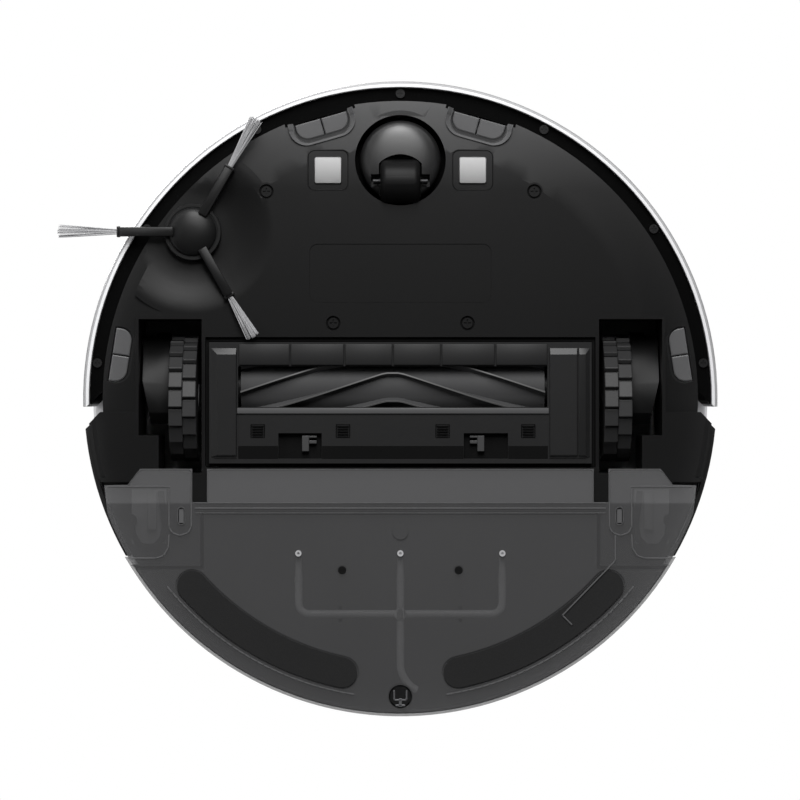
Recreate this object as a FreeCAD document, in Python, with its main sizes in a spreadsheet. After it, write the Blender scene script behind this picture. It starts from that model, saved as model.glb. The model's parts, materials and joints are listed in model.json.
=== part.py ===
import FreeCAD, Part
import os
import re
import Sketcher

# Robot vacuum cleaner.  Millimetres.  The floor is z = 0 and the origin is the middle of the round body.
# The front faces -Y, so the left-hand side of the machine turned on its back is -X.

SIZES = {
    # overall
    "body_radius": 175,
    "floor_gap": 10,
    "plate_thick": 2.5,
    "cover_low": 75,
    "cover_high": 80,
    "turret_high": 96.5,
    "wall_thick": 2.5,
    "front_wall_radius": 156,
    "rear_wall_radius": 172,
    "plate_radius": 164,
    "slope_start": 138,
    "slope_rise": 3.5,
    "notch_x": 165.2,
    "notch_y": 7.4,
    # bumper
    "bumper_wall": 3.4,
    "bumper_low": 12.5,
    "bumper_high": 74.4,
    "flange_low": 16.5,
    "flange_thick": 2,
    "flange_inner": 161.5,
    "bumper_screw_ring": 168.3,
    "bumper_travel": 4,
    # wheels
    "wheel_radius": 35,
    "wheel_width": 15.4,
    "wheel_x": 119.6,
    "well_inner": 109.3,
    "well_outer": 144,
    "well_front": 43.7,
    "well_rear": 41,
    "pivot_y": 31,
    "pivot_z": 40,
    "pin_radius": 2,
    # caster
    "caster_y": 131.2,
    "caster_hole": 25,
    "caster_ball": 22.3,
    "caster_trail": 11.6,
    "caster_wheel_radius": 12,
    "caster_wheel_width": 22,
    # side brush
    "brush_x": 114.2,
    "brush_y": 91.6,
    "brush_ring": 15.7,
    "brush_reach": 74,
    "sleeve_reach": 41.5,
    "dish_radius": 45,
    "dish_rise": 4,
    # main brush
    "roller_y": 6.5,
    "roller_z": 26,
    "roller_radius": 20.5,
    "core_radius": 9.5,
    "bay_half": 107,
    "bay_front": 33.5,
    "bay_rear": 37.5,
    "bay_high": 52,
    "guard_low": 6.5,
    "guard_skin": 1.6,
    "guard_half": 105,
    "guard_front": 31,
    "guard_rear": 35.6,
    "pulley_radius": 7,
    "motor_y": 52,
    # tank
    "tank_front": 38.6,
    "tank_low": 6.5,
    "tank_skin": 2.5,
    "tank_high": 26.6,
    "tank_wall": 2,
    "deck_low": 27,
    "step_y": 58,
    "corner_x": 122,
    "corner_y": 46,
    "hose_radius": 2.1,
    "hose_z": 11.6,
    "nozzle_y": 85,
    "nozzle_x": 56,
    "manifold_y": 118.5,
    "strip_ring": 162,
    "strip_width": 16.5,
    # top side
    "turret_y": 45,
    "turret_radius": 43,
    "lid_half": 72,
    "lid_front": 41,
    "lid_radius": 147,
    "button_x": 14,
    "button_y": 122,
    "button_radius": 8,
}

doc = FreeCAD.newDocument("robot_vacuum")
sheet = doc.addObject("Spreadsheet::Sheet", "Sizes")
for row, (alias, size) in enumerate(SIZES.items(), 1):
    sheet.set(f"A{row}", alias)
    sheet.set(f"B{row}", str(size))
    sheet.setAlias(f"B{row}", alias)
doc.recompute()

SUB_PARTS = []
FAR = "300"


def link(formula):
    """Turn the size names in a formula into references to the sheet."""
    return re.sub(r"[a-z_]+", lambda m: "Sizes." + m[0] if m[0] in SIZES else m[0], str(formula))


def value(formula):
    """The number a formula comes to at the moment."""
    return float(sheet.evalExpression(link(formula)))


def bind(thing, **formulas):
    """Bind properties to formulas; two underscores stand for a dot."""
    for prop, formula in formulas.items():
        thing.setExpression(prop.replace("__", "."), link(formula))
    return thing


def place(thing, x, y, z):
    """Bind the position of an object."""
    return bind(thing, Placement__Base__x=x, Placement__Base__y=y, Placement__Base__z=z)


def box(x, y, z, dx, dy, dz):
    """A block from its low corner and its three lengths."""
    block = doc.addObject("Part::Box", "Block")
    bind(block, Length=dx, Width=dy, Height=dz)
    return place(block, x, y, z)


AXES = {
    "Z": FreeCAD.Rotation(),
    "X": FreeCAD.Rotation(FreeCAD.Vector(0, 1, 0), 90),
    "Y": FreeCAD.Rotation(FreeCAD.Vector(1, 0, 0), -90),
}


def rod(radius, length, x, y, z, axis="Z"):
    """A round bar that starts at a point and runs along an axis."""
    bar = doc.addObject("Part::Cylinder", "Rod")
    bar.Placement.Rotation = AXES[axis]
    bind(bar, Radius=radius, Height=length)
    return place(bar, x, y, z)


def cone(low_radius, high_radius, length, x, y, z, axis="Z"):
    """A cone that starts at a point and runs along an axis."""
    taper = doc.addObject("Part::Cone", "Cone")
    taper.Placement.Rotation = AXES[axis]
    bind(taper, Radius1=low_radius, Radius2=high_radius, Height=length)
    return place(taper, x, y, z)


def fuse(*pieces):
    """Join pieces into one."""
    joined = doc.addObject("Part::MultiFuse", "Join")
    joined.Shapes = list(pieces)
    return joined


def cut(base, *tools):
    """Take the tools out of the base."""
    carved = doc.addObject("Part::Cut", "Carve")
    carved.Base = base
    carved.Tool = tools[0] if len(tools) == 1 else fuse(*tools)
    return carved


def common(*pieces):
    """Keep what the pieces share."""
    shared = doc.addObject("Part::MultiCommon", "Share")
    shared.Shapes = list(pieces)
    return shared


def turn(thing, degrees, x="0", y="0"):
    """Swing a finished piece round an upright line through a point."""
    swung = doc.addObject("Part::Compound", "Swing")
    swung.Links = [thing]
    swung.Placement.Rotation = FreeCAD.Rotation(FreeCAD.Vector(0, 0, 1), degrees)
    return place(swung, x, y, "0")


def sketch_on(body, plane, level="0"):
    """An empty sketch on one of the body's own planes."""
    sketch = body.newObject("Sketcher::SketchObject", "Sketch")
    planes = {feature.Role: feature for feature in body.Origin.OriginFeatures}
    sketch.AttachmentSupport = [(planes[plane], "")]
    sketch.MapMode = "FlatFace"
    return bind(sketch, AttachmentOffset__Base__z=level)


def polygon(sketch, points):
    """A closed outline whose corners are all bound to formulas."""
    corners = [FreeCAD.Vector(value(x), value(y), 0) for x, y in points]
    count = len(corners)
    for i in range(count):
        sketch.addGeometry(Part.LineSegment(corners[i], corners[(i + 1) % count]))
    for i in range(count):
        sketch.addConstraint(Sketcher.Constraint("Coincident", i, 2, (i + 1) % count, 1))
    for i, (x, y) in enumerate(points):
        for kind, formula, at in (("DistanceX", x, corners[i].x), ("DistanceY", y, corners[i].y)):
            row = sketch.addConstraint(Sketcher.Constraint(kind, -1, 1, i, 1, at))
            sketch.setExpression(f"Constraints[{row}]", link(formula))
    return sketch


def slab(points, low, high, plane="XY_Plane"):
    """A body of one thickness: an outline padded from one level to another."""
    body = doc.addObject("PartDesign::Body", "Slab")
    sketch = polygon(sketch_on(body, plane, low), points)
    pad = body.newObject("PartDesign::Pad", "Pad")
    pad.Profile = sketch
    bind(pad, Length=f"({high})-({low})")
    body.Tip = pad
    return body


def turned(points, x="0", y="0", z="0", axis="Z", angle=360):
    """A turned body: a half section (radius, height) swept about its own axis."""
    body = doc.addObject("PartDesign::Body", "Turned")
    sketch = polygon(sketch_on(body, "XZ_Plane"), points)
    sweep = body.newObject("PartDesign::Revolution", "Sweep")
    sweep.Profile = sketch
    sweep.ReferenceAxis = (sketch, ["V_Axis"])
    sweep.Angle = angle
    body.Tip = sweep
    body.Placement.Rotation = AXES[axis]
    return place(body, x, y, z)


def rounded(thing, radius, choose):
    """Round the chosen edges of a piece."""
    doc.recompute()
    size = value(radius)
    soft = doc.addObject("Part::Fillet", "Round")
    soft.Base = thing
    soft.Edges = [(i, size, size) for i, edge in enumerate(thing.Shape.Edges, 1) if choose(edge)]
    return soft


def bevelled(thing, size, choose):
    """Bevel the chosen edges of a piece."""
    doc.recompute()
    length = value(size)
    soft = doc.addObject("Part::Chamfer", "Bevel")
    soft.Base = thing
    soft.Edges = [(i, length, length) for i, edge in enumerate(thing.Shape.Edges, 1) if choose(edge)]
    return soft


def upright(edge):
    """True for straight edges that stand up."""
    low, high = edge.BoundBox.ZMin, edge.BoundBox.ZMax
    return edge.BoundBox.XLength < 0.01 and edge.BoundBox.YLength < 0.01 and high - low > 0.3


def level_at(height):
    """Picks the edges that lie flat at a height."""
    at = value(height)
    return lambda edge: abs(edge.BoundBox.ZMin - at) < 0.01 and abs(edge.BoundBox.ZMax - at) < 0.01


def outer_edge(height):
    """Picks the lower front edge and the lower edge on the far side from the middle."""
    flat = level_at(height)

    def choose(edge):
        span = edge.BoundBox
        front = span.YLength < 0.01 and span.YMin < 0
        flank = span.XLength < 0.01 and abs(span.XMin) > 100
        return flat(edge) and (front or flank)

    return choose


def soft_box(x, y, z, dx, dy, dz, radius):
    """A block with rounded upright corners."""
    return rounded(box(x, y, z, dx, dy, dz), radius, upright)


def sub_part(name, thing):
    """Give the finished piece its own name."""
    thing.Label = name
    SUB_PARTS.append(thing)
    return thing


def around(ring, degrees):
    """A point on a ring, counted from the front, as two formulas."""
    return f"{ring}*sin({degrees})", f"-{ring}*cos({degrees})"


def mirrored(points):
    """An outline mirrored to the other side."""
    return [(f"-({x})", y) for x, y in points]


# ---------------------------------------------------------------- chassis


def rear_outline(step="0"):
    """The rear half of the body seen from below, moved inward by a step."""
    return [
        ("-notch_x", f"notch_y+{step}"),
        ("notch_x", f"notch_y+{step}"),
        ("notch_x+10", f"notch_y+10+{step}"),
        (FAR, f"notch_y+10+{step}"),
        (FAR, FAR),
        (f"-{FAR}", FAR),
        (f"-{FAR}", f"notch_y+10+{step}"),
        ("-notch_x-10", f"notch_y+10+{step}"),
    ]


def deck_outline(step="0"):
    """The raised deck over the tank; a step moves its front edges forward."""
    return [
        (f"-{FAR}", f"corner_y-{step}"),
        (f"-corner_x+{step}", f"corner_y-{step}"),
        (f"-corner_x+{step}", f"step_y-{step}"),
        (f"corner_x-{step}", f"step_y-{step}"),
        (f"corner_x-{step}", f"corner_y-{step}"),
        (FAR, f"corner_y-{step}"),
        (FAR, FAR),
        (f"-{FAR}", FAR),
    ]


def well_outline(grow):
    """A right-hand wheel well with the step in its outer rear corner."""
    return [
        (f"well_inner-{grow}", f"-well_front-{grow}"),
        (f"well_outer+{grow}", f"-well_front-{grow}"),
        (f"well_outer+{grow}", f"20.3+{grow}"),
        (f"133+{grow}", f"20.3+{grow}"),
        (f"133+{grow}", f"well_rear+{grow}"),
        (f"well_inner-{grow}", f"well_rear+{grow}"),
    ]


CLIFF_ANGLES = (-81.2, -15.9, 15.9, 81.2)
BIG_SCREWS = (("-73.7", "-113.9"), ("73.7", "-113.9"), ("-36.9", "-41.5"), ("36.9", "-41.5"))
BUMPER_SCREW_ANGLES = (-83.3, -56.2, -28.1, 0, 28.1, 56.2, 83.3)


def cliff_block(grow, low, high):
    """One D-shaped sensor window at the front, its straight edge outward."""
    flat = slab(
        [
            (f"-15-{grow}", f"-160.8-{grow}"),
            (f"15+{grow}", f"-160.8-{grow}"),
            (f"15+{grow}", f"-151.2+{grow}"),
            (f"-15-{grow}", f"-151.2+{grow}"),
        ],
        low,
        high,
    )
    return rounded(flat, f"7+{grow}", lambda edge: upright(edge) and edge.BoundBox.YMin > -154)


def cliff_bevel():
    """The sloping rim round the inner side of a sensor window, wide below and narrow above."""
    wide = cliff_block("3.4", "floor_gap-2", "floor_gap+3.4")
    slope = doc.addObject("Part::Chamfer", "Slope")
    slope.Base = wide
    doc.recompute()
    top = value("floor_gap+3.4")
    slope.Edges = [
        (i, 3.3, 3.3)
        for i, edge in enumerate(wide.Shape.Edges, 1)
        if abs(edge.BoundBox.ZMin - top) < 0.01 and abs(edge.BoundBox.ZMax - top) < 0.01
    ]
    return slope


def make_chassis():
    front = turned(
        [
            ("0", "floor_gap"),
            ("slope_start", "floor_gap"),
            ("plate_radius", "floor_gap+slope_rise"),
            ("plate_radius", "floor_gap+slope_rise+1.6"),
            ("plate_radius-5", "floor_gap+slope_rise+1.6"),
            ("front_wall_radius-2.5", "floor_gap+slope_rise+plate_thick"),
            ("slope_start", "floor_gap+plate_thick"),
            ("0", "floor_gap+plate_thick"),
        ]
    )
    rear_floor = turned(
        [
            ("100", "floor_gap"),
            ("rear_wall_radius-4", "floor_gap"),
            ("rear_wall_radius", "floor_gap+4"),
            ("rear_wall_radius", "floor_gap+6.5"),
            ("rear_wall_radius-4", "floor_gap+plate_thick"),
            ("100", "floor_gap+plate_thick"),
        ]
    )
    rear_floor = common(rear_floor, slab(rear_outline(), "5", "20"))
    front_wall = cut(
        rod("front_wall_radius", "cover_low-floor_gap-plate_thick", "0", "0", "floor_gap+plate_thick"),
        rod("front_wall_radius-2.5", "cover_low", "0", "0", "0"),
        slab(rear_outline(), "0", "100"),
    )
    rear_wall = cut(
        common(
            rod("rear_wall_radius", "cover_low-floor_gap-plate_thick", "0", "0", "floor_gap+plate_thick"),
            slab(rear_outline(), "0", "100"),
        ),
        common(
            rod("rear_wall_radius-2.5", "cover_low", "0", "0", "0"),
            slab(rear_outline("2.5"), "0", "100"),
        ),
    )
    arch = box("-front_wall_radius+3", "0", "floor_gap+plate_thick", "2*front_wall_radius-6", "40", "70")
    shell = fuse(front, rear_floor, front_wall, cut(rear_wall, arch))

    # the raised deck and the step wall round its front edge
    deck_zone = slab(deck_outline(), "0", "deck_low")
    deck = common(
        rod("rear_wall_radius-1", "plate_thick", "0", "0", "deck_low"),
        slab(deck_outline("plate_thick"), "0", "100"),
    )
    step = cut(
        common(
            rod("rear_wall_radius-1", "deck_low-floor_gap+1", "0", "0", "floor_gap"),
            slab(deck_outline("plate_thick"), "0", "100"),
        ),
        deck_zone,
    )
    shell = fuse(cut(shell, deck_zone), deck, step)

    # wheel wells
    wells = []
    holes = []
    for side in (1, -1):
        outer = well_outline("2") if side == 1 else mirrored(well_outline("2"))
        inner = well_outline("0") if side == 1 else mirrored(well_outline("0"))
        wells.append(slab(outer, "floor_gap", "60"))
        holes.append(slab(inner, "0", "100"))
    shell = fuse(shell, *wells)
    pins = [
        rod("pin_radius+0.05", "16", f"{side}*140-8", "-pivot_y", "pivot_z", "X") for side in (-1, 1)
    ]

    # dish under the side brush, with a floor that backs it
    backing = common(
        rod("dish_radius+2", "2.5", "-brush_x", "-brush_y", "floor_gap+dish_rise"),
        rod("front_wall_radius+1", "100", "0", "0", "0"),
        box("-well_inner-60", "-200", "0", "200", "200-well_front-1", "100"),
    )
    skirt = common(
        cone("dish_radius+2", "22", "dish_rise+2.4", "-brush_x", "-brush_y", "floor_gap"),
        rod("front_wall_radius+1", "100", "0", "0", "0"),
        box("-well_inner-60", "-200", "0", "200", "200-well_front-1", "100"),
    )
    bowl = [("0", "floor_gap-1"), ("dish_radius+5", "floor_gap-1"), ("dish_radius+5", "floor_gap")]
    slope = ((1, 0), (0.92, 0.06), (0.84, 0.22), (0.76, 0.45), (0.68, 0.68), (0.6, 0.86), (0.5, 0.97))
    for part, depth in slope:
        bowl.append((f"dish_radius*{part}", f"floor_gap+dish_rise*{depth}"))
    bowl += [("dish_radius*0.4", "floor_gap+dish_rise"), ("0", "floor_gap+dish_rise")]
    dish = turned(bowl, "-brush_x", "-brush_y")

    # posts for the big screws and the board
    posts = []
    bores = []
    for x, y in BIG_SCREWS:
        posts.append(rod("5", "63.9-floor_gap", x, y, "floor_gap"))
        bores.append(rod("4", "2", x, y, "floor_gap-0.5"))
        bores.append(rod("1.55", "14", x, y, "floor_gap"))
    collar = rod("caster_hole+2.5", "2.6", "0", "-caster_y", "floor_gap+2.4")
    shell = fuse(shell, backing, skirt, collar, *posts)

    tools = [dish, *bores, *holes, *pins]
    mouth_long = "bay_front+bay_rear+0.6"
    tools.append(box("-bay_half-0.3", "-bay_front-0.3", "0", "2*bay_half+0.6", mouth_long, "30"))
    tools.append(rod("caster_hole", "34.2", "0", "-caster_y", "0"))
    tools.append(rod("caster_hole+2.55", "19.2", "0", "-caster_y", "floor_gap+5"))
    for angle in CLIFF_ANGLES[1:3]:
        tools.append(turn(box("-20", "-180", "0", "40", "19.2", "floor_gap+6.3"), angle))
    tools.append(soft_box("-50", "-68.8-16.25", "floor_gap-1", "100", "32.5", "1.5", "4.5"))
    tools.append(rod("3", "20", "-brush_x", "-brush_y", "floor_gap"))
    tools.append(rod("11.6", "60", "-brush_x", "-brush_y", "floor_gap+dish_rise+2.5"))
    for side in (-1, 1):
        tools.append(soft_box(f"{side}*39.8-11.5", "-137", "floor_gap-1", "23", "22.8", "1.8", "3.8"))
    for angle in CLIFF_ANGLES:
        tools.append(turn(cliff_block("0", "floor_gap-2", "floor_gap+6.2"), angle))
        tools.append(turn(cliff_bevel(), angle))
    return sub_part("chassis", cut(shell, *tools))


def make_chassis_trim():
    windows = []
    for angle in CLIFF_ANGLES:
        frame = cliff_block("-0.05", "floor_gap+1.8", "floor_gap+6.2")
        groove = box("-0.5", "-165", "floor_gap+1", "1", "20", "1.4")
        windows.append(turn(cut(frame, groove), angle))
    sub_part("cliff_windows", fuse(*windows))

    plates = []
    for side in (-1, 1):
        plate = soft_box(f"{side}*39.8-7.5", "-132.8", "floor_gap-0.4", "15", "14.6", "1.2", "1.2")
        plates.append(bevelled(plate, "0.4", level_at("floor_gap-0.4")))
    sub_part("charging_contacts", fuse(*plates))

    screws = []
    for x, y in BIG_SCREWS:
        head = rod("2.9", "1.2", x, y, "floor_gap+0.3")
        cross = fuse(
            box(f"{x}-2", f"{y}-0.4", "floor_gap", "4", "0.8", "1"),
            box(f"{x}-0.4", f"{y}-2", "floor_gap", "0.8", "4", "1"),
        )
        screws.append(cut(fuse(head, rod("1.5", "11", x, y, "floor_gap+1.5")), cross))
    sub_part("chassis_screws", fuse(*screws))

    ring = cut(
        common(
            rod("body_radius", "cover_low-20", "0", "0", "20"),
            slab(rear_outline("0.4"), "0", "100"),
        ),
        rod("rear_wall_radius+0.3", "100", "0", "0", "0"),
        common(slab(deck_outline(), "0", "deck_low"), slab([(f"-{FAR}", "87"), (FAR, "87"), (FAR, FAR),
                                                           (f"-{FAR}", FAR)], "0", "30")),
    )
    foot = cut(
        common(rod("body_radius", "1", "0", "0", "cover_low-1"), slab(rear_outline("3"), "0", "100")),
        rod("rear_wall_radius+0.3", "100", "0", "0", "0"),
    )
    sub_part("side_wall", fuse(ring, foot))


# ---------------------------------------------------------------- bumper


def bumper_zone(reach):
    """The front region that the bumper fills, with its slanted ends."""
    return [
        (f"-{FAR}", f"-{FAR}"),
        (FAR, f"-{FAR}"),
        (FAR, "4.5"),
        (f"notch_x+{reach}", "4.5"),
        ("notch_x", "-3.1"),
        ("-notch_x", "-3.1"),
        (f"-notch_x-{reach}", "4.5"),
        (f"-{FAR}", "4.5"),
    ]


def make_bumper():
    shell = turned(
        [
            ("body_radius-bumper_wall", "bumper_low"),
            ("body_radius-1.8", "bumper_low"),
            ("body_radius-0.6", "bumper_low+0.8"),
            ("body_radius", "bumper_low+3"),
            ("body_radius", "bumper_high-3"),
            ("body_radius-0.6", "bumper_high-0.8"),
            ("body_radius-1.8", "bumper_high"),
            ("body_radius-6", "bumper_high"),
            ("body_radius-6", "bumper_high-2"),
            ("body_radius-bumper_wall", "bumper_high-2"),
        ]
    )
    window = common(
        turned(
            [
                ("body_radius-bumper_wall+0.2", "33"),
                ("body_radius-0.2", "33"),
                ("body_radius-0.2", "57"),
                ("body_radius-bumper_wall+0.2", "57"),
            ]
        ),
        box("-70", f"-{FAR}", "0", "140", "200", "100"),
    )
    opening = common(
        turned(
            [
                ("body_radius-20", "33"),
                ("body_radius+5", "33"),
                ("body_radius+5", "57"),
                ("body_radius-20", "57"),
            ]
        ),
        box("-70", f"-{FAR}", "0", "140", "200", "100"),
    )
    sub_part("bumper_shell", cut(common(shell, slab(bumper_zone("7.6"), "0", "100")), opening))
    sub_part("bumper_window", window)

    liner = turned(
        [
            ("flange_inner", "flange_low"),
            ("body_radius-bumper_wall-0.3", "flange_low"),
            ("body_radius-bumper_wall-0.3", "bumper_high-2"),
            ("body_radius-bumper_wall-2.3", "bumper_high-2"),
            ("body_radius-bumper_wall-2.3", "flange_low+flange_thick"),
            ("flange_inner", "flange_low+flange_thick"),
        ]
    )
    bosses = []
    bores = []
    screws = []
    for angle in BUMPER_SCREW_ANGLES:
        x, y = around("bumper_screw_ring", angle)
        bosses.append(rod("2.6", "8", x, y, "flange_low"))
        bores.append(rod("1.25", "6", x, y, "flange_low-1"))
        head = rod("2.5", "1.2", x, y, "flange_low-1.2")
        cross = fuse(
            box(f"{x}-1.6", f"{y}-0.35", "flange_low-1.5", "3.2", "0.7", "0.9"),
            box(f"{x}-0.35", f"{y}-1.6", "flange_low-1.5", "0.7", "3.2", "0.9"),
        )
        screws.append(cut(fuse(head, rod("1.2", "4.5", x, y, "flange_low")), cross))
    keeper = rod("body_radius-bumper_wall-0.3", "100", "0", "0", "0")
    frame = common(cut(fuse(liner, *bosses), *bores), slab(bumper_zone("7.6"), "0", "100"), keeper)
    sub_part("bumper_frame", frame)
    sub_part("bumper_screws", fuse(*screws))


# ---------------------------------------------------------------- caster


def make_caster():
    socket = turned(
        [
            ("caster_hole", "floor_gap+plate_thick+2.5"),
            ("caster_hole+2.5", "floor_gap+plate_thick+2.5"),
            ("caster_hole+2.5", "34"),
            ("5.05", "34"),
            ("5.05", "31.05"),
            ("caster_hole", "31.05"),
        ],
        y="-caster_y",
    )
    sub_part("caster_socket", common(socket, rod("front_wall_radius-2.55", "40", "0", "0", "0")))

    dome = turned(
        [
            ("0", "8.2"),
            ("8", "8.6"),
            ("14", "9.8"),
            ("19", "12"),
            ("caster_ball", "15.5"),
            ("caster_ball", "31"),
            ("5", "31"),
            ("5", "37"),
            ("0", "37"),
        ],
        y="-caster_y",
    )
    axle_y = "-caster_y+caster_trail"
    half = "caster_wheel_width/2+0.6"
    bay = box(f"-({half})", f"{axle_y}-13.5", "0", f"2*({half})", "40", "26")
    bay = rounded(bay, "6", lambda edge: upright(edge) and edge.BoundBox.YMin < -125)
    start = "-caster_wheel_width/2"
    axle_hole = rod("1.5", "caster_wheel_width+9", f"{start}-4.5", axle_y, "caster_wheel_radius", "X")
    sub_part("caster_fork", cut(dome, bay, axle_hole))
    sub_part(
        "caster_axle",
        rod("1.5", "caster_wheel_width+8", f"{start}-4", axle_y, "caster_wheel_radius", "X"),
    )
    wheel = turned(
        [
            ("1.55", "0"),
            ("7.6", "0"),
            ("10.4", "2.2"),
            ("caster_wheel_radius", "5.4"),
            ("caster_wheel_radius", "caster_wheel_width-5.4"),
            ("10.4", "caster_wheel_width-2.2"),
            ("7.6", "caster_wheel_width"),
            ("1.55", "caster_wheel_width"),
        ],
        "-caster_wheel_width/2",
        axle_y,
        "caster_wheel_radius",
        "X",
    )
    sub_part("caster_wheel", wheel)


# ---------------------------------------------------------------- side brush


def make_side_brush():
    hub = turned(
        [
            ("0", "5.2"),
            ("5", "5.5"),
            ("9.5", "6.6"),
            ("13", "8.6"),
            ("13", "9.2"),
            ("brush_ring", "9.2"),
            ("brush_ring", "13.4"),
            ("2.4", "13.4"),
            ("2.4", "9.4"),
            ("0", "9.4"),
        ],
        "-brush_x",
        "-brush_y",
    )
    sleeves = []
    tufts = []
    for angle, reach in ((180, "brush_reach"), (60, "brush_reach-6.4"), (-60, "brush_reach-2")):
        sleeve = slab(
            [
                ("10", "-2.6"),
                ("sleeve_reach-1.5", "-2.6"),
                ("sleeve_reach-1.5", "-3"),
                ("sleeve_reach", "-3"),
                ("sleeve_reach", "3"),
                ("sleeve_reach-1.5", "3"),
                ("sleeve_reach-1.5", "2.6"),
                ("10", "2.6"),
            ],
            "5.4",
            "9",
        )
        sleeves.append(turn(sleeve, angle, "-brush_x", "-brush_y"))
        tuft = slab(
            [("sleeve_reach", "6"), ("sleeve_reach", "8.6"), (reach, "2.2"), (reach, "0.9")],
            "-3.8",
            "3.8",
            "XZ_Plane",
        )
        fan = slab(
            [("sleeve_reach", "-1.3"), (reach, "-3.8"), (reach, "3.8"), ("sleeve_reach", "1.3")],
            "0",
            "12",
        )
        tufts.append(turn(common(tuft, fan), angle, "-brush_x", "-brush_y"))
    core = turned([("0", "0"), ("13.05", "0"), ("13.05", "9.2"), ("0", "9.2")], "-brush_x", "-brush_y")
    sub_part("side_brush_hub", hub)
    sub_part("side_brush_arms", cut(fuse(*sleeves), core))
    sub_part("side_brush_bristles", fuse(*tufts))
    shaft = rod("2.4", "11", "-brush_x", "-brush_y", "9.4")
    case = rod("11", "8", "-brush_x", "-brush_y", "floor_gap+dish_rise+2.5")
    can = rod("10", "26", "-brush_x+6", "-brush_y+5", "floor_gap+dish_rise+9")
    sub_part("side_brush_motor", fuse(shaft, case, can))


# ---------------------------------------------------------------- drive wheels


def make_drive(side, name):
    """One drive wheel with its swinging gearbox arm."""
    flip = (lambda points: points) if side == 1 else mirrored
    low_x = "wheel_x-wheel_width/2" if side == 1 else "-wheel_x-wheel_width/2"
    tyre = turned(
        [
            ("wheel_radius-6", "0"),
            ("wheel_radius-2.5", "0"),
            ("wheel_radius-1.8", "0.7"),
            ("wheel_radius-1.8", "wheel_width-0.7"),
            ("wheel_radius-2.5", "wheel_width"),
            ("wheel_radius-6", "wheel_width"),
        ],
        low_x,
        "0",
        "wheel_radius",
        "X",
    )
    treads = []
    for i in range(24):
        row = "0.2" if i % 2 else "wheel_width/2-0.6"
        block = box("wheel_radius-2.6", "-2.4", row, "2.6", "4.8", "wheel_width/2+0.4")
        spun = doc.addObject("Part::Compound", "Tread")
        spun.Links = [block]
        spun.Placement.Rotation = AXES["X"] * FreeCAD.Rotation(FreeCAD.Vector(0, 0, 1), i * 15)
        treads.append(place(spun, low_x, "0", "wheel_radius"))
    crown = rod("wheel_radius", "wheel_width", low_x, "0", "wheel_radius", "X")
    sub_part(f"{name}_tyre", common(fuse(tyre, *treads), crown))

    rim = turned(
        [
            ("3.05", "3"),
            ("24", "3"),
            ("24", "0.6"),
            ("wheel_radius-6.3", "0.6"),
            ("wheel_radius-6.3", "wheel_width-0.6"),
            ("24", "wheel_width-0.6"),
            ("24", "wheel_width-3"),
            ("8", "wheel_width-3"),
            ("8", "wheel_width"),
            ("3.05", "wheel_width"),
        ],
        low_x,
        "0",
        "wheel_radius",
        "X",
    )
    lugs = []
    for i in range(6):
        angle = 60 * i
        lug = box("wheel_radius-8.5", "-2", "3", "2", "4", "wheel_width-6")
        spun = doc.addObject("Part::Compound", "Lug")
        spun.Links = [lug]
        spun.Placement.Rotation = AXES["X"] * FreeCAD.Rotation(FreeCAD.Vector(0, 0, 1), angle)
        lugs.append(place(spun, low_x, "0", "wheel_radius"))
    sub_part(f"{name}_rim", fuse(rim, *lugs))

    near = "wheel_x+wheel_width/2+0.6"
    plan = slab(
        flip(
            [
                (near, "-38"),
                ("well_outer-0.8", "-38"),
                ("well_outer-0.8", "-10"),
                ("well_outer-6", "14"),
                (near, "14"),
            ]
        ),
        "0",
        "100",
    )
    profile = slab(
        [
            ("-pivot_y-5.8", "pivot_z-4"),
            ("-pivot_y-5.8", "pivot_z+4"),
            ("-28", "50"),
            ("10", "50"),
            ("14", "46"),
            ("14", "26"),
            ("8", "21"),
            ("-8", "21"),
            ("-34", "33"),
        ],
        "-170",
        "170",
        "YZ_Plane",
    )
    spring_bay = box(f"{side}*140-4", "-pivot_y-8", "pivot_z-6", "8", "15", "20")
    pin_hole = rod("pin_radius+0.05", "40", f"{side}*135-20", "-pivot_y", "pivot_z", "X")
    axle = rod("3", "wheel_width+1", "wheel_x-wheel_width/2+0.2" if side == 1 else f"-({near})-0.4", "0",
               "wheel_radius", "X")
    sub_part(f"{name}_gearbox", fuse(cut(common(plan, profile), spring_bay, pin_hole), axle))

    coil_x = "137" if side == 1 else "-143"
    coils = turned(
        [("pin_radius+0.4", "0"), ("pin_radius+2.4", "0"), ("pin_radius+2.4", "6"), ("pin_radius+0.4", "6")],
        coil_x,
        "-pivot_y",
        "pivot_z",
        "X",
    )
    grooves = [
        cut(
            rod("pin_radius+4", "0.4", f"{coil_x}+{k}*1.2", "-pivot_y", "pivot_z", "X"),
            rod("pin_radius+1.4", "2", f"{coil_x}+{k}*1.2-0.5", "-pivot_y", "pivot_z", "X"),
        )
        for k in (1, 2, 3, 4)
    ]
    leg = box(coil_x, "-pivot_y-1", "pivot_z+2.6", "1", "1", "18")
    sub_part(f"{name}_suspension_spring", cut(fuse(coils, leg), *grooves))


def make_pins():
    pins = []
    for side in (-1, 1):
        start = "wheel_x+wheel_width/2+1" if side == 1 else "-well_outer-1.9"
        length = "well_outer+1.9-wheel_x-wheel_width/2-1"
        pins.append(rod("pin_radius", length, start, "-pivot_y", "pivot_z", "X"))
    sub_part("suspension_pins", fuse(*pins))


# ---------------------------------------------------------------- main brush


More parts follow.
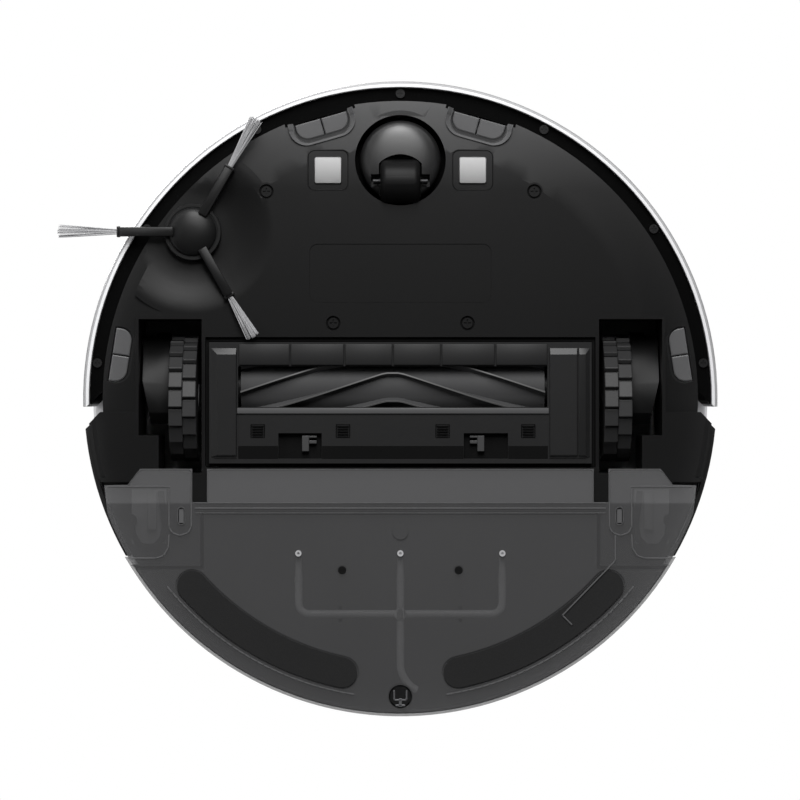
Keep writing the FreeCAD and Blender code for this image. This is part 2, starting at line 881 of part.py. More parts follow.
def make_brush_bay():
    tall = "bay_high-floor_gap-2.5"
    outer = box("-bay_half", "-bay_front", "floor_gap+2.5", "2*bay_half", "bay_front+bay_rear", tall)
    inner = box("-bay_half+1.6", "-bay_front+2", "0", "2*bay_half-3.2", "bay_front+bay_rear-4", "bay_high-2")
    duct = cut(
        box("-42", "bay_rear-2", "29.5", "84", "10.2", "21.5"),
        box("-40", "bay_rear-5", "31.5", "80", "20", "17.5"),
    )
    window = box("-40", "bay_rear-5", "31.5", "80", "8", "17.5")
    ledges = fuse(
        box("-100", "-bay_front-5", "floor_gap+plate_thick", "55", "6", "2"),
        box("45", "-bay_front-5", "floor_gap+plate_thick", "45", "6", "2"),
        box("-100", "bay_rear-1", "floor_gap+plate_thick", "200", "6", "2"),
    )
    slot = box("94", "-bay_front-8", "15", "8.2", "12", "22.5")
    shell = fuse(cut(fuse(outer, ledges), inner, window, slot), duct)
    sub_part("brush_bay", shell)


def make_roller():
    length = "171"
    start = "-90"
    core = rod("core_radius", length, start, "-roller_y", "roller_z", "X")
    stub = rod("3", "205.6", "-104.6", "-roller_y", "roller_z", "X")
    drive = rod("pulley_radius", "6", "95", "-roller_y", "roller_z", "X")
    sub_part("brush_core", fuse(core, stub, drive))

    count = 6
    fins = []
    for i in range(count):
        fin = box("core_radius-0.5", "-0.9", "2", "roller_radius-core_radius+0.5", "1.8", "167")
        spun = doc.addObject("Part::Compound", "Fin")
        spun.Links = [fin]
        turn_by = FreeCAD.Rotation(FreeCAD.Vector(0, 0, 1), i * 360 / count + 30)
        spun.Placement.Rotation = AXES["X"] * turn_by
        fins.append(place(spun, start, "-roller_y", "roller_z"))
    sleeve = rod("core_radius+1.2", "167", "-88", "-roller_y", "roller_z", "X")
    keep = rod("roller_radius", "171", start, "-roller_y", "roller_z", "X")
    bore = rod("core_radius", "180", "-95", "-roller_y", "roller_z", "X")
    body = cut(common(fuse(sleeve, *fins), keep), bore)
    sub_part("brush_fins", body)

    blocks = []
    for x, width in (("-105.3", "12"), ("84", "9")):
        block = box(x, "-roller_y-8", "roller_z-8", width, "16", "bay_high-2-roller_z+8")
        blocks.append(cut(block, rod("3.05", "20", f"{x}-4", "-roller_y", "roller_z", "X")))
    sub_part("brush_bearings", fuse(*blocks))

    belt_outer = fuse(
        rod("pulley_radius+1.3", "5", "95.5", "-roller_y", "roller_z", "X"),
        rod("pulley_radius+1.3", "5", "95.5", "-motor_y", "roller_z", "X"),
        box("95.5", "-motor_y", "roller_z-pulley_radius-1.3", "5", "motor_y-roller_y", "2*pulley_radius+2.6"),
    )
    belt_inner = fuse(
        rod("pulley_radius+0.05", "9", "93", "-roller_y", "roller_z", "X"),
        rod("pulley_radius+0.05", "9", "93", "-motor_y", "roller_z", "X"),
        box("93", "-motor_y", "roller_z-pulley_radius-0.05", "9", "motor_y-roller_y", "2*pulley_radius+0.1"),
    )
    sub_part("brush_belt", cut(belt_outer, belt_inner))
    motor = fuse(
        rod("11", "42", "46", "-motor_y", "roller_z", "X"),
        box("50", "-motor_y-9", "floor_gap+plate_thick", "34", "14", "10"),
        rod("2", "15", "87", "-motor_y", "roller_z", "X"),
    )
    sub_part("brush_motor", motor)
    pulley = cut(
        rod("pulley_radius", "6", "95", "-motor_y", "roller_z", "X"),
        rod("2.05", "20", "90", "-motor_y", "roller_z", "X"),
    )
    sub_part("motor_pulley", pulley)


FLAP_WALLS = ("-88", "-60.5", "-30.7", "-4.1", "22.4", "52.1", "80")
LATCH_BAYS = (("-67", "-43.2"), ("34.8", "59.1"))


def make_guard():
    low = "guard_low"
    plate = box("-guard_half", "-guard_front", low, "2*guard_half", "guard_front+guard_rear", "guard_skin")
    rim = cut(
        box("-guard_half", "-guard_front", low, "2*guard_half", "guard_front+guard_rear", "6"),
        box(
            "-guard_half+1.6", "-guard_front+1.6", "0",
            "2*guard_half-3.2", "guard_front+guard_rear-3.2", "30",
        ),
    )
    ends = [
        box("-guard_half+0.4", "-27.2", f"{low}-0.6", "14.8", "59.7", "6.6"),
        box("81.6", "-27.2", f"{low}-0.6", "22.7", "59.7", "6.6"),
        box("-89.8", "5.1", f"{low}-0.8", "171.4", "3.2", "3"),
    ]
    edged = [bevelled(end, "2.6", outer_edge(f"{low}-0.6")) for end in ends[:2]] + ends[2:]
    pans = []
    for a, b in LATCH_BAYS:
        pans.append(box(f"{a}-1.2", "17.8", f"{low}+guard_skin", f"{b}-({a})+2.4", "16.2", "3.9"))
    pan_holes = [box(a, "19", "0", f"{b}-({a})", "14", f"{low}+4") for a, b in LATCH_BAYS]
    slots = [box("-89.1", "-17.7", "0", "169.8", "22.4", "30")]
    for i in range(6):
        a, b = FLAP_WALLS[i], FLAP_WALLS[i + 1]
        slots.append(box(f"{a}+0.9", "-29", "0", f"{b}-({a})-1.8", "10", f"{low}+guard_skin"))
    for x in ("-78.3", "-31.5", "23.2", "70.2"):
        slots.append(box(f"{x}-4", "14.8", "0", "8", "6.3", f"{low}+0.8"))
    slots.append(box("-89", "27", "0", "19", "5.5", f"{low}+0.6"))
    slots.append(box("-40", "27", "0", "72", "5.5", f"{low}+0.6"))
    slots.append(box("62", "27", "0", "18", "5.5", f"{low}+0.6"))
    body = cut(fuse(plate, rim, *edged, *pans), *slots, *pan_holes)
    sub_part("guard_frame", body)

    flaps = [box("-87.4", "-29.3", f"{low}+guard_skin", "167", "9.8", "1")]
    for i in range(6):
        a, b = FLAP_WALLS[i], FLAP_WALLS[i + 1]
        flaps.append(box(f"{a}+1.2", "-28.6", "4.6", f"{b}-({a})-2.4", "8.8", f"{low}+guard_skin-4.6"))
    sub_part("guard_flaps", fuse(*flaps))

    for name, lever, hook in (("left_guard_latch", "-54", "-50.2"), ("right_guard_latch", "42.3", "38.2")):
        body = fuse(
            box(lever, "20.4", f"{low}+0.4", "3.8", "8.6", "3.6"),
            box(hook, "23", f"{low}+1", "4.2", "1.8", "3"),
            box(hook, "20.4", f"{low}+1", "4.2", "1.2", "3"),
        )
        sub_part(name, body)


# ---------------------------------------------------------------- tank


def tank_outline():
    """The tank plate seen from below: tabs, slots and corner boxes."""
    half = [
        ("106.2", "tank_front"),
        ("106.2", "57"),
        ("114.3", "57"),
        ("114.3", "tank_front"),
        ("142.9", "tank_front"),
        ("149.5", "47.4"),
        ("162.5", "47.7"),
        ("160.8", "63.5"),
        ("157.9", "70.5"),
        ("153.9", "78.8"),
        ("149.4", "87"),
        (FAR, "87"),
        (FAR, FAR),
    ]
    return half + [(f"-{x}", y) for x, y in reversed(half)]


def strip_piece(side, grow, low, high):
    """A curved strip with round ends, from 8.8 to 51 degrees off the rear."""
    ring = cut(
        rod(f"strip_ring+{grow}", f"{high}-({low})", "0", "0", low),
        rod(f"strip_ring-strip_width-{grow}", "100", "0", "0", "0"),
    )
    sector = slab(
        [
            ("0", "0"),
            (f"{side}*400*sin(12)", "400*cos(12)"),
            (f"{side}*400*sin(48)", "400*cos(48)"),
        ],
        low,
        high,
    )
    middle = "(strip_ring-strip_width/2)"
    ends = [
        rod(
            f"strip_width/2+{grow}", f"{high}-({low})",
            f"{side}*{middle}*sin({a})", f"{middle}*cos({a})", low,
        )
        for a in (12, 48)
    ]
    return fuse(common(ring, sector), *ends)


def make_tank():
    low = "tank_low"
    top = "tank_low+tank_skin"
    plate = common(
        turned(
            [
                ("0", low),
                ("body_radius-2.6", low),
                ("body_radius-0.4", f"{low}+1.4"),
                ("body_radius-0.4", top),
                ("0", top),
            ]
        ),
        slab(tank_outline(), "0", "50"),
    )
    inside = [
        ("-110", "62"),
        ("110", "62"),
        ("110", "92"),
        (FAR, "92"),
        (FAR, FAR),
        (f"-{FAR}", FAR),
        (f"-{FAR}", "92"),
        ("-110", "92"),
    ]
    inner = [
        ("-110+tank_wall", "62+tank_wall"),
        ("110-tank_wall", "62+tank_wall"),
        ("110-tank_wall", "92+tank_wall"),
        (FAR, "92+tank_wall"),
        (FAR, FAR),
        (f"-{FAR}", FAR),
        (f"-{FAR}", "92+tank_wall"),
        ("-110+tank_wall", "92+tank_wall"),
    ]
    walls = cut(
        common(rod("body_radius-0.4", f"tank_high-2-({top})", "0", "0", top), slab(inside, "0", "50")),
        common(rod("body_radius-0.4-tank_wall", "100", "0", "0", "0"), slab(inner, "0", "50")),
    )
    posts = []
    tools = []
    for x in ("-nozzle_x", "0", "nozzle_x"):
        tools.append(rod("1.75", "12", x, "nozzle_y", "0"))
    for x in ("-32", "32"):
        posts.append(rod("3", "9", x, "94.3", low))
        tools.append(rod("2.3", "1.6", x, "94.3", f"{low}-0.6"))
        tools.append(rod("1.05", "7", x, "94.3", low))
    for x in ("-33", "33"):
        for y in ("manifold_y-4.4", "manifold_y+2.4"):
            posts.append(box(f"{x}-1", y, f"{top}-0.5", "2", "2", "6"))
    posts.append(rod("4.2", "1.6", "0", "73.2", f"{low}-0.8"))
    for side in (-1, 1):
        tools.append(strip_piece(side, "1", f"{low}-1", f"{low}+1.2"))
        tools.append(soft_box(f"{side}*120.3-2", "60", "0", "4", "9", "30", "1.8"))
    plug = turned([("0", "4"), ("6.4", "4"), ("6.4", "20"), ("0", "20")], "0", "163.6")
    shell = cut(fuse(plate, walls, *posts), *tools, plug)
    sub_part("tank_shell", shell)
    sub_part(
        "tank_cover",
        common(rod("body_radius-0.4", "2", "0", "0", "tank_high-2"), slab(inside, "0", "50")),
    )
    sub_part("mop_strips", fuse(*[strip_piece(side, "0", f"{low}+0.3", f"{low}+1.2") for side in (-1, 1)]))

    octagon = [(f"5.9*cos({22.5 + 45 * i})", f"163.6+5.9*sin({22.5 + 45 * i})") for i in range(8)]
    plug_body = fuse(slab(octagon, f"{low}-0.4", top), rod("7", "0.4", "0", "163.6", top))
    sub_part("tank_plug", plug_body)

    screws = []
    for x in ("-32", "32"):
        cross = box(f"{x}-1.4", "94", low, "2.8", "0.6", "0.5")
        head = rod("2.1", "0.8", x, "94.3", f"{low}+0.2")
        screws.append(cut(fuse(head, rod("1", "5", x, "94.3", f"{low}+1")), cross))
    sub_part("tank_screws", fuse(*screws))

    tips = []
    for x in ("-nozzle_x", "0", "nozzle_x"):
        tips.append(
            fuse(
                cut(
                    rod("1.7", "6.5", x, "nozzle_y", f"{low}-0.6"),
                    rod("0.7", "1.5", x, "nozzle_y", f"{low}-1"),
                ),
                cone("1.5", "2.1", "14.5", x, "nozzle_y", "hose_z", "Y"),
                rod("2.5", "1", x, "nozzle_y+14.5", "hose_z", "Y"),
                rod("1.2", "3", x, "nozzle_y+15", "hose_z", "Y"),
            )
        )
    sub_part("tank_nozzles", fuse(*tips))

    hub_y = "manifold_y"
    start = "nozzle_y+15.5"
    bend = "6"
    hoses = [
        rod("hose_radius", f"2*nozzle_x-2*{bend}", f"-nozzle_x+{bend}", hub_y, "hose_z", "X"),
        rod("hose_radius", f"{hub_y}-({start})", "0", start, "hose_z", "Y"),
        rod("hose_radius", f"146-{hub_y}", "0", hub_y, "hose_z", "Y"),
    ]
    for side in (-1, 1):
        length = f"{hub_y}-{bend}-({start})"
        hoses.append(rod("hose_radius", length, f"{side}*nozzle_x", start, "hose_z", "Y"))
        elbow = doc.addObject("Part::Torus", "Elbow")
        bind(elbow, Radius1=bend, Radius2="hose_radius", Angle3="90")
        elbow.Placement.Rotation = FreeCAD.Rotation(FreeCAD.Vector(0, 0, 1), 0 if side == 1 else 90)
        hoses.append(place(elbow, f"{side}*(nozzle_x-{bend})", f"{hub_y}-{bend}", "hose_z"))
    tail = doc.addObject("Part::Torus", "Tail")
    bind(tail, Radius1="16", Radius2="hose_radius", Angle3="65")
    tail.Placement.Rotation = FreeCAD.Rotation(FreeCAD.Vector(0, 0, 1), 115)
    hoses.append(place(tail, "16", "146", "hose_z"))
    tubes = fuse(*hoses)
    bores = [rod("1.2", "2.6", x, start, "hose_z", "Y") for x in ("-nozzle_x", "0", "nozzle_x")]
    sub_part("tank_hoses", cut(fuse(tubes, rod("3.3", "5.2", "0", hub_y, "hose_z-2.6")), *bores))

    for side, name in ((-1, "left_tank_latch"), (1, "right_tank_latch")):
        flip = (lambda points: points) if side == 1 else mirrored
        hook = slab(
            flip(
                [
                    ("130", "66"),
                    ("156", "66"),
                    ("156", "70"),
                    ("134", "70"),
                    ("134", "76"),
                    ("142", "76"),
                    ("142", "80"),
                    ("130", "80"),
                ]
            ),
            top,
            "20",
        )
        sub_part(name, hook)


# ---------------------------------------------------------------- inside and top


def lid_outline(grow):
    """The rear lid; its front edge is the hinge side."""
    return [
        (f"-lid_half-{grow}", f"lid_front-{grow}-{grow}"),
        (f"lid_half+{grow}", f"lid_front-{grow}-{grow}"),
        (f"lid_half+{grow}", FAR),
        (f"-lid_half-{grow}", FAR),
    ]


def make_top():
    disc = turned(
        [
            ("0", "77.5"),
            ("150", "77.5"),
            ("150", "cover_low"),
            ("body_radius-1.5", "cover_low"),
            ("body_radius", "cover_low+1.5"),
            ("body_radius", "cover_high-2.5"),
            ("body_radius-0.8", "cover_high-0.8"),
            ("body_radius-2.5", "cover_high"),
            ("0", "cover_high"),
        ]
    )
    lid_hole = common(slab(lid_outline("0.5"), "70", "90"), rod("lid_radius+0.5", "40", "0", "0", "60"))
    pin_hole = rod("0.65", "2*lid_half+8", "-lid_half-4", "lid_front+1.4", "78.7", "X")
    tools = [lid_hole, pin_hole, rod("37", "20", "0", "-turret_y", "70")]
    for side in (-1, 1):
        tools.append(rod("button_radius+0.3", "20", f"{side}*button_x", "-button_y", "70"))
    sub_part("top_cover", cut(disc, *tools))

    plate = common(slab(lid_outline("0"), "77.2", "cover_high"), rod("lid_radius", "40", "0", "0", "60"))
    pin = rod("0.6", "2*lid_half+7", "-lid_half-3.5", "lid_front+1.4", "78.7", "X")
    catch = box("-10", "lid_radius-9", "70", "20", "2", "8")
    sub_part("bin_lid", fuse(plate, pin, catch))

    for side, name in ((-1, "power_button"), (1, "home_button")):
        x = f"{side}*button_x"
        body = fuse(
            rod("button_radius", "4", x, "-button_y", "76.6"),
            rod("button_radius+1.4", "1", x, "-button_y", "76.5"),
        )
        sub_part(name, rounded(body, "0.5", level_at("80.6")))

    mount = cut(
        rod("40", "8.5", "0", "-turret_y", "69"),
        rod("36.5", "20", "0", "-turret_y", "71"),
        rod("4.05", "20", "0", "-turret_y", "60"),
    )
    sub_part("lidar_mount", mount)
    rotor = turned(
        [
            ("0", "69"), ("4", "69"), ("4", "71.1"), ("10", "71.1"), ("10", "75"), ("33", "75"), ("33", "88"),
            ("28", "91.5"), ("0", "91.5"),
        ],
        y="-turret_y",
    )
    eye = box("-12", "-turret_y-40", "78", "24", "20", "9")
    sub_part("lidar_rotor", cut(rotor, eye))
    ring = cut(
        rod("turret_radius", "2", "0", "-turret_y", "cover_high"),
        rod("37", "9", "0", "-turret_y", "78"),
    )
    cap = turned(
        [
            ("0", "93"), ("turret_radius", "93"), ("turret_radius", "94.3"),
            ("turret_radius-1.6", "turret_high-0.5"),
            ("turret_radius-4", "turret_high"), ("0", "turret_high"),
        ],
        y="-turret_y",
    )
    posts = []
    for angle in (45, 135, 225, 315):
        x, y = around("(turret_radius-3)", angle)
        posts.append(rod("2.4", "12", x, f"{y}-turret_y", "81.5"))
    sub_part("turret_cover", fuse(ring, cap, *posts))


def make_inside():
    sub_part("battery_pack", soft_box("-34", "-101", "floor_gap+plate_thick", "68", "53", "48", "6"))
    board = cut(
        box("-80", "-119", "63.9", "160", "84", "1.6"),
        *[rod("1.6", "4", x, y, "62") for x, y in BIG_SCREWS],
    )
    chips = [box("-30", "-80", "61.9", "14", "14", "2.2"), box("10", "-70", "62.1", "10", "10", "2")]
    sub_part("main_board", fuse(board, *chips))

    shell = cut(
        box("-68", "47.7", "31", "136", "97", "43"),
        box("-66", "49.7", "33", "132", "93", "60"),
        box("-40", "45", "33", "80", "6", "16"),
        box("-50", "141", "38", "100", "6", "30"),
    )
    feet = fuse(box("-60", "80", "29.5", "20", "20", "2"), box("40", "80", "29.5", "20", "20", "2"),
                box("-60", "120", "29.5", "120", "10", "2"))
    sub_part("bin_body", fuse(shell, feet))
    pleats = [box("-49.8", "143", f"38.4+{i}*4.2", "99.6", "1.7", "2.6") for i in range(7)]
    sub_part("bin_filter", fuse(box("-49.8", "141.2", "38.2", "99.6", "1.8", "29.6"), *pleats))

    fan_x = "-104"
    fan_y = "86"
    housing = cut(
        rod("29", "34", fan_x, fan_y, "29.5"),
        rod("26.5", "26", fan_x, fan_y, "33.5"),
        rod("9", "20", fan_x, fan_y, "55"),
        rod("3.05", "20", fan_x, fan_y, "27"),
    )
    sub_part("fan_housing", housing)
    blades = []
    for i in range(9):
        blade = doc.addObject("Part::Box", "Blade")
        bind(blade, Length="17", Width="1.2", Height="9")
        blade.Placement.Rotation = FreeCAD.Rotation(FreeCAD.Vector(0, 0, 1), i * 40)
        blades.append(place(blade, fan_x, fan_y, "37"))
    wheel = fuse(
        rod("24", "2", fan_x, fan_y, "35"), rod("7", "14", fan_x, fan_y, "35"),
        rod("3", "6", fan_x, fan_y, "29.6"), *blades,
    )
    sub_part("impeller", wheel)
    pump = fuse(box("84", "66", "29.5", "30", "26", "22"), rod("9", "24", "99", "92", "40", "Y"))
    sub_part("water_pump", pump)


make_chassis()
make_chassis_trim()
make_bumper()
make_caster()
make_side_brush()
make_drive(-1, "left")
make_drive(1, "right")
make_pins()
make_brush_bay()
make_roller()
make_guard()
make_tank()
make_top()
make_inside()
doc.recompute()

for thing in doc.Objects:
    if "Invalid" in thing.State or "Error" in thing.State:
        raise RuntimeError(f"{thing.Name} ({thing.Label}) did not build: {thing.State}")

os.makedirs("parts", exist_ok=True)
for thing in SUB_PARTS:
    if thing.Shape.isNull() or not thing.Shape.isValid() or not thing.Shape.Solids:
        raise RuntimeError(f"{thing.Label} has no sound solid")
    thing.Shape.exportStep(f"parts/{thing.Label}.step")
    print(f"{thing.Label}: {len(thing.Shape.Solids)} solids, {thing.Shape.Volume / 1000:.1f} cm3")
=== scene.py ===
# %% [markdown]
# This notebook dresses the solids of a robot vacuum, seen from below. The solids are loaded first and never
# moved. Every length is in metres, the floor is z = 0, and the front of the machine faces -Y.

# %% Load the solids
import bpy
import json
import math
import random
from mathutils import Matrix, Vector

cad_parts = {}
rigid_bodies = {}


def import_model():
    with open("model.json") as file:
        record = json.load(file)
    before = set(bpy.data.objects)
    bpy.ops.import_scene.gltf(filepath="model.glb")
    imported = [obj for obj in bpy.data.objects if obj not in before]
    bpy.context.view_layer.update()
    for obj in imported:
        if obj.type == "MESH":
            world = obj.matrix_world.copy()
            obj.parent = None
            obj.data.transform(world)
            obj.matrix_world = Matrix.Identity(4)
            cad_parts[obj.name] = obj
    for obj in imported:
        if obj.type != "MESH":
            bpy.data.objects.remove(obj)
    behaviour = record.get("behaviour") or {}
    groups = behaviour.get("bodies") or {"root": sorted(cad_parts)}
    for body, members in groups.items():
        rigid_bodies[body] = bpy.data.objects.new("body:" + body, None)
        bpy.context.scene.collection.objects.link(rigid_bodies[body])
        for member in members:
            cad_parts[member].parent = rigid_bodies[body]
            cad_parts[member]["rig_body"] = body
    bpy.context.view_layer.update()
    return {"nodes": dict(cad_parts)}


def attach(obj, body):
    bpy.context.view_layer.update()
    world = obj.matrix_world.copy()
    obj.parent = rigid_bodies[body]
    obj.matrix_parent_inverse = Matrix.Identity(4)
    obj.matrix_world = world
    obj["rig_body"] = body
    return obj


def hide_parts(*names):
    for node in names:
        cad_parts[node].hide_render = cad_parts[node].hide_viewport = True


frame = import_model()
nodes = frame["nodes"]

# %% [markdown]
# Operators act on whatever is selected, so every new piece starts from an empty selection. The helpers below
# select by place, because there is no mouse here, and they pin a finished piece's origin at the middle of
# the floor, as the solids' origins are.

# %% Helpers for modelling
MM = 0.001
BIG_SCREWS = ((-73.7, -113.9), (73.7, -113.9), (-36.9, -41.5), (36.9, -41.5))


def clear_selection():
    if bpy.context.object and bpy.context.object.mode != "OBJECT":
        bpy.ops.object.mode_set(mode="OBJECT")
    bpy.ops.object.select_all(action="DESELECT")


def only(piece):
    clear_selection()
    piece.select_set(True)
    bpy.context.view_layer.objects.active = piece
    return piece


def settle(piece, name):
    """Name a piece and put its origin at the world's, with its place in its mesh."""
    only(piece)
    bpy.ops.object.transform_apply(location=True, rotation=True, scale=True)
    piece.name = name
    piece.data.name = name
    return piece


def dress(piece, finish, body, slot_name, *solids, smooth=35):
    """Give a piece its finish and its body, and hide the solids it stands for."""
    piece.data.materials.clear()
    piece.data.materials.append(finish)
    if smooth:
        only(piece)
        bpy.ops.object.shade_smooth_by_angle(angle=math.radians(smooth))
    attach(piece, body)
    if solids:
        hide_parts(*solids)
    print(piece.name, "faces:", len(piece.data.polygons))
    return piece


def block(low, high, edge=0.0, steps=2):
    """A cube set to two corners in millimetres, its edges rounded."""
    clear_selection()
    low, high = Vector(low) * MM, Vector(high) * MM
    bpy.ops.mesh.primitive_cube_add(size=1, location=(low + high) / 2, scale=high - low)
    piece = bpy.context.object
    bpy.ops.object.transform_apply(location=True, rotation=True, scale=True)
    if edge:
        bpy.ops.object.mode_set(mode="EDIT")
        bpy.ops.mesh.select_all(action="SELECT")
        bpy.ops.mesh.bevel(offset=edge * MM, segments=steps, affect="EDGES")
        bpy.ops.object.mode_set(mode="OBJECT")
    return piece


def lathe(profile, centre=(0, 0), sides=72):
    """A ring of points extruded and widened step by step, as on a wheel: (radius, height) in millimetres."""
    clear_selection()
    radius, height = profile[0]
    middle = Vector((centre[0], centre[1], 0)) * MM
    bpy.ops.mesh.primitive_circle_add(
        vertices=sides, radius=radius * MM, fill_type="NGON" if radius else "NOTHING",
        location=middle + Vector((0, 0, height * MM)),
    )
    piece = bpy.context.object
    bpy.ops.object.transform_apply(location=True, rotation=True, scale=True)
    bpy.ops.object.mode_set(mode="EDIT")
    bpy.ops.mesh.select_all(action="SELECT")
    for wide, tall in profile[1:]:
        bpy.ops.mesh.extrude_region_move(TRANSFORM_OT_translate={"value": (0, 0, (tall - height) * MM)})
        factor = wide / radius
        bpy.ops.transform.resize(value=(factor, factor, 1), center_override=middle)
        radius, height = wide, tall
    bpy.ops.mesh.select_all(action="SELECT")
    bpy.ops.mesh.normals_make_consistent(inside=False)
    bpy.ops.object.mode_set(mode="OBJECT")
    return piece


def duplicate(piece, move=Matrix()):
    """A copy with its own mesh, moved by a matrix."""
    copy = piece.copy()
    copy.data = piece.data.copy()
    bpy.context.scene.collection.objects.link(copy)
    copy.data.transform(move)
    return copy


def gather(pieces, name):
    """Join pieces into one object."""
    clear_selection()
    for piece in pieces:
        piece.select_set(True)
    bpy.context.view_layer.objects.active = pieces[0]
    if len(pieces) > 1:
        bpy.ops.object.join()
    return settle(bpy.context.object, name)


# %% [markdown]
# Moulded plastic is never one flat colour. A wide noise makes the tone drift slightly over the surface, a
# fine noise gives the texture left by the mould, and the same fine noise breaks up the gloss.

# %% Moulded plastic, rubber and metal finishes
def finish(name, colour, rough, drift=0.12, drift_scale=18, grain_scale=1600, grain=0.12, metal=0.0,
           clear=1.0, sheen=0.0, coat=0.0, shine=0.3):
    material = bpy.data.materials.new(name)
    material.use_nodes = True
    tree = material.node_tree
    shader = tree.nodes["Principled BSDF"]
    place = tree.nodes.new("ShaderNodeTexCoord")
    wide = tree.nodes.new("ShaderNodeTexNoise")
    wide.inputs["Scale"].default_value = drift_scale
    wide.inputs["Detail"].default_value = 3
    tree.links.new(place.outputs["Object"], wide.inputs["Vector"])
    tone = tree.nodes.new("ShaderNodeMix")
    tone.data_type = "RGBA"
    tone.inputs["A"].default_value = (*[c * (1 - drift) for c in colour], 1)
    tone.inputs["B"].default_value = (*[c * (1 + drift) for c in colour], 1)
    tree.links.new(wide.outputs["Fac"], tone.inputs["Factor"])
    tree.links.new(tone.outputs["Result"], shader.inputs["Base Color"])
    fine = tree.nodes.new("ShaderNodeTexNoise")
    fine.inputs["Scale"].default_value = grain_scale
    fine.inputs["Detail"].default_value = 2
    tree.links.new(place.outputs["Object"], fine.inputs["Vector"])
    gloss = tree.nodes.new("ShaderNodeMapRange")
    gloss.inputs["To Min"].default_value = max(rough - 0.05, 0.02)
    gloss.inputs["To Max"].default_value = min(rough + 0.05, 1)
    tree.links.new(fine.outputs["Fac"], gloss.inputs["Value"])
    tree.links.new(gloss.outputs["Result"], shader.inputs["Roughness"])
    bump = tree.nodes.new("ShaderNodeBump")
    bump.inputs["Strength"].default_value = grain
    bump.inputs["Distance"].default_value = 0.0002
    tree.links.new(fine.outputs["Fac"], bump.inputs["Height"])
    tree.links.new(bump.outputs["Normal"], shader.inputs["Normal"])
    shader.inputs["Metallic"].default_value = metal
    shader.inputs["Alpha"].default_value = clear
    shader.inputs["Coat Weight"].default_value = coat
    shader.inputs["Sheen Weight"].default_value = sheen
    shader.inputs["Specular IOR Level"].default_value = shine
    return material


def grey(level):
    return (level, level, level * 1.02)


white_plastic = finish("white_plastic", (0.8, 0.8, 0.81), 0.35, drift=0.01, grain=0.03)
pan_plastic = finish("pan_plastic", grey(0.005), 0.36, grain=0.16, grain_scale=2200, shine=0.24)
edge_plastic = finish("edge_plastic", grey(0.0008), 0.6, grain=0.02, shine=0.03)
fork_plastic = finish("fork_plastic", grey(0.012), 0.36, grain=0.05, shine=0.9)
guard_plastic = finish("guard_plastic", grey(0.0125), 0.33, grain=0.05, shine=0.45)
caster_rubber = finish("caster_rubber", grey(0.005), 0.45, grain=0.04, shine=0.13)
latch_plastic = finish("latch_plastic", grey(0.05), 0.4)
arm_plastic = finish("arm_plastic", grey(0.007), 0.36)
gearbox_plastic = finish("gearbox_plastic", grey(0.004), 0.36, shine=0.18)
inner_plastic = finish("inner_plastic", grey(0.0015), 0.6, shine=0.1)
grey_plastic = finish("grey_plastic", grey(0.12), 0.5)
window_plastic = finish("window_plastic", grey(0.085), 0.3, drift=0.06, grain=0.04, coat=0.3)
tread_rubber = finish("tread_rubber", grey(0.024), 0.5, grain=0.3, grain_scale=1200)
fin_rubber = finish("fin_rubber", grey(0.055), 0.5, grain=0.05, shine=0.14)
flap_rubber = finish("flap_rubber", grey(0.014), 0.5, grain=0.1)
roller_rubber = finish("roller_rubber", grey(0.02), 0.45, grain=0.1)
contact_metal = finish("contact_metal", (0.62, 0.62, 0.62), 0.38, drift=0.04, metal=1.0, grain=0.02)
steel = finish("steel", (0.3, 0.3, 0.31), 0.4, metal=1.0, grain=0.03)
screw_metal = finish("screw_metal", grey(0.008), 0.4, metal=0.4)
smoked_plastic = finish("smoked_plastic", grey(0.088), 0.34, drift=0.05, grain=0.015, clear=0.5)
smoked_lid = finish("smoked_lid", grey(0.008), 0.45)
hose_rubber = finish("hose_rubber", grey(0.5), 0.4)
nozzle_plastic = finish("nozzle_plastic", grey(0.45), 0.35)
loop_fabric = finish("loop_fabric", grey(0.012), 0.9, drift=0.3, drift_scale=900, grain=0.9, grain_scale=2600,
                     sheen=0.1)
filter_paper = finish("filter_paper", (0.8, 0.8, 0.76), 0.9)
bin_plastic = finish("bin_plastic", grey(0.1), 0.25, clear=0.6)
board_lacquer = finish("board_lacquer", (0.01, 0.12, 0.05), 0.3)
cell_wrap = finish("cell_wrap", (0.03, 0.07, 0.3), 0.35)
bristle_nylon = finish("bristle_nylon", grey(0.34), 0.45, drift=0.35, drift_scale=1500, grain=0.0)
# a finish darker than the pan, laid on the floors of the sunk bezels and the label recess as painted shade
recess_shade_plastic = finish("recess_shade_plastic", grey(0.003), 0.45, grain=0.05, shine=0.2)
bar_plastic = finish("bar_plastic", grey(0.085), 0.35, grain=0.04)
ridge_plastic = finish("ridge_plastic", grey(0.11), 0.35, grain=0.03, clear=0.85)
hook_plastic = finish("hook_plastic", grey(0.3), 0.4, grain=0.04)
axle_steel = finish("axle_steel", (0.035, 0.035, 0.036), 0.45, metal=1.0, grain=0.03)


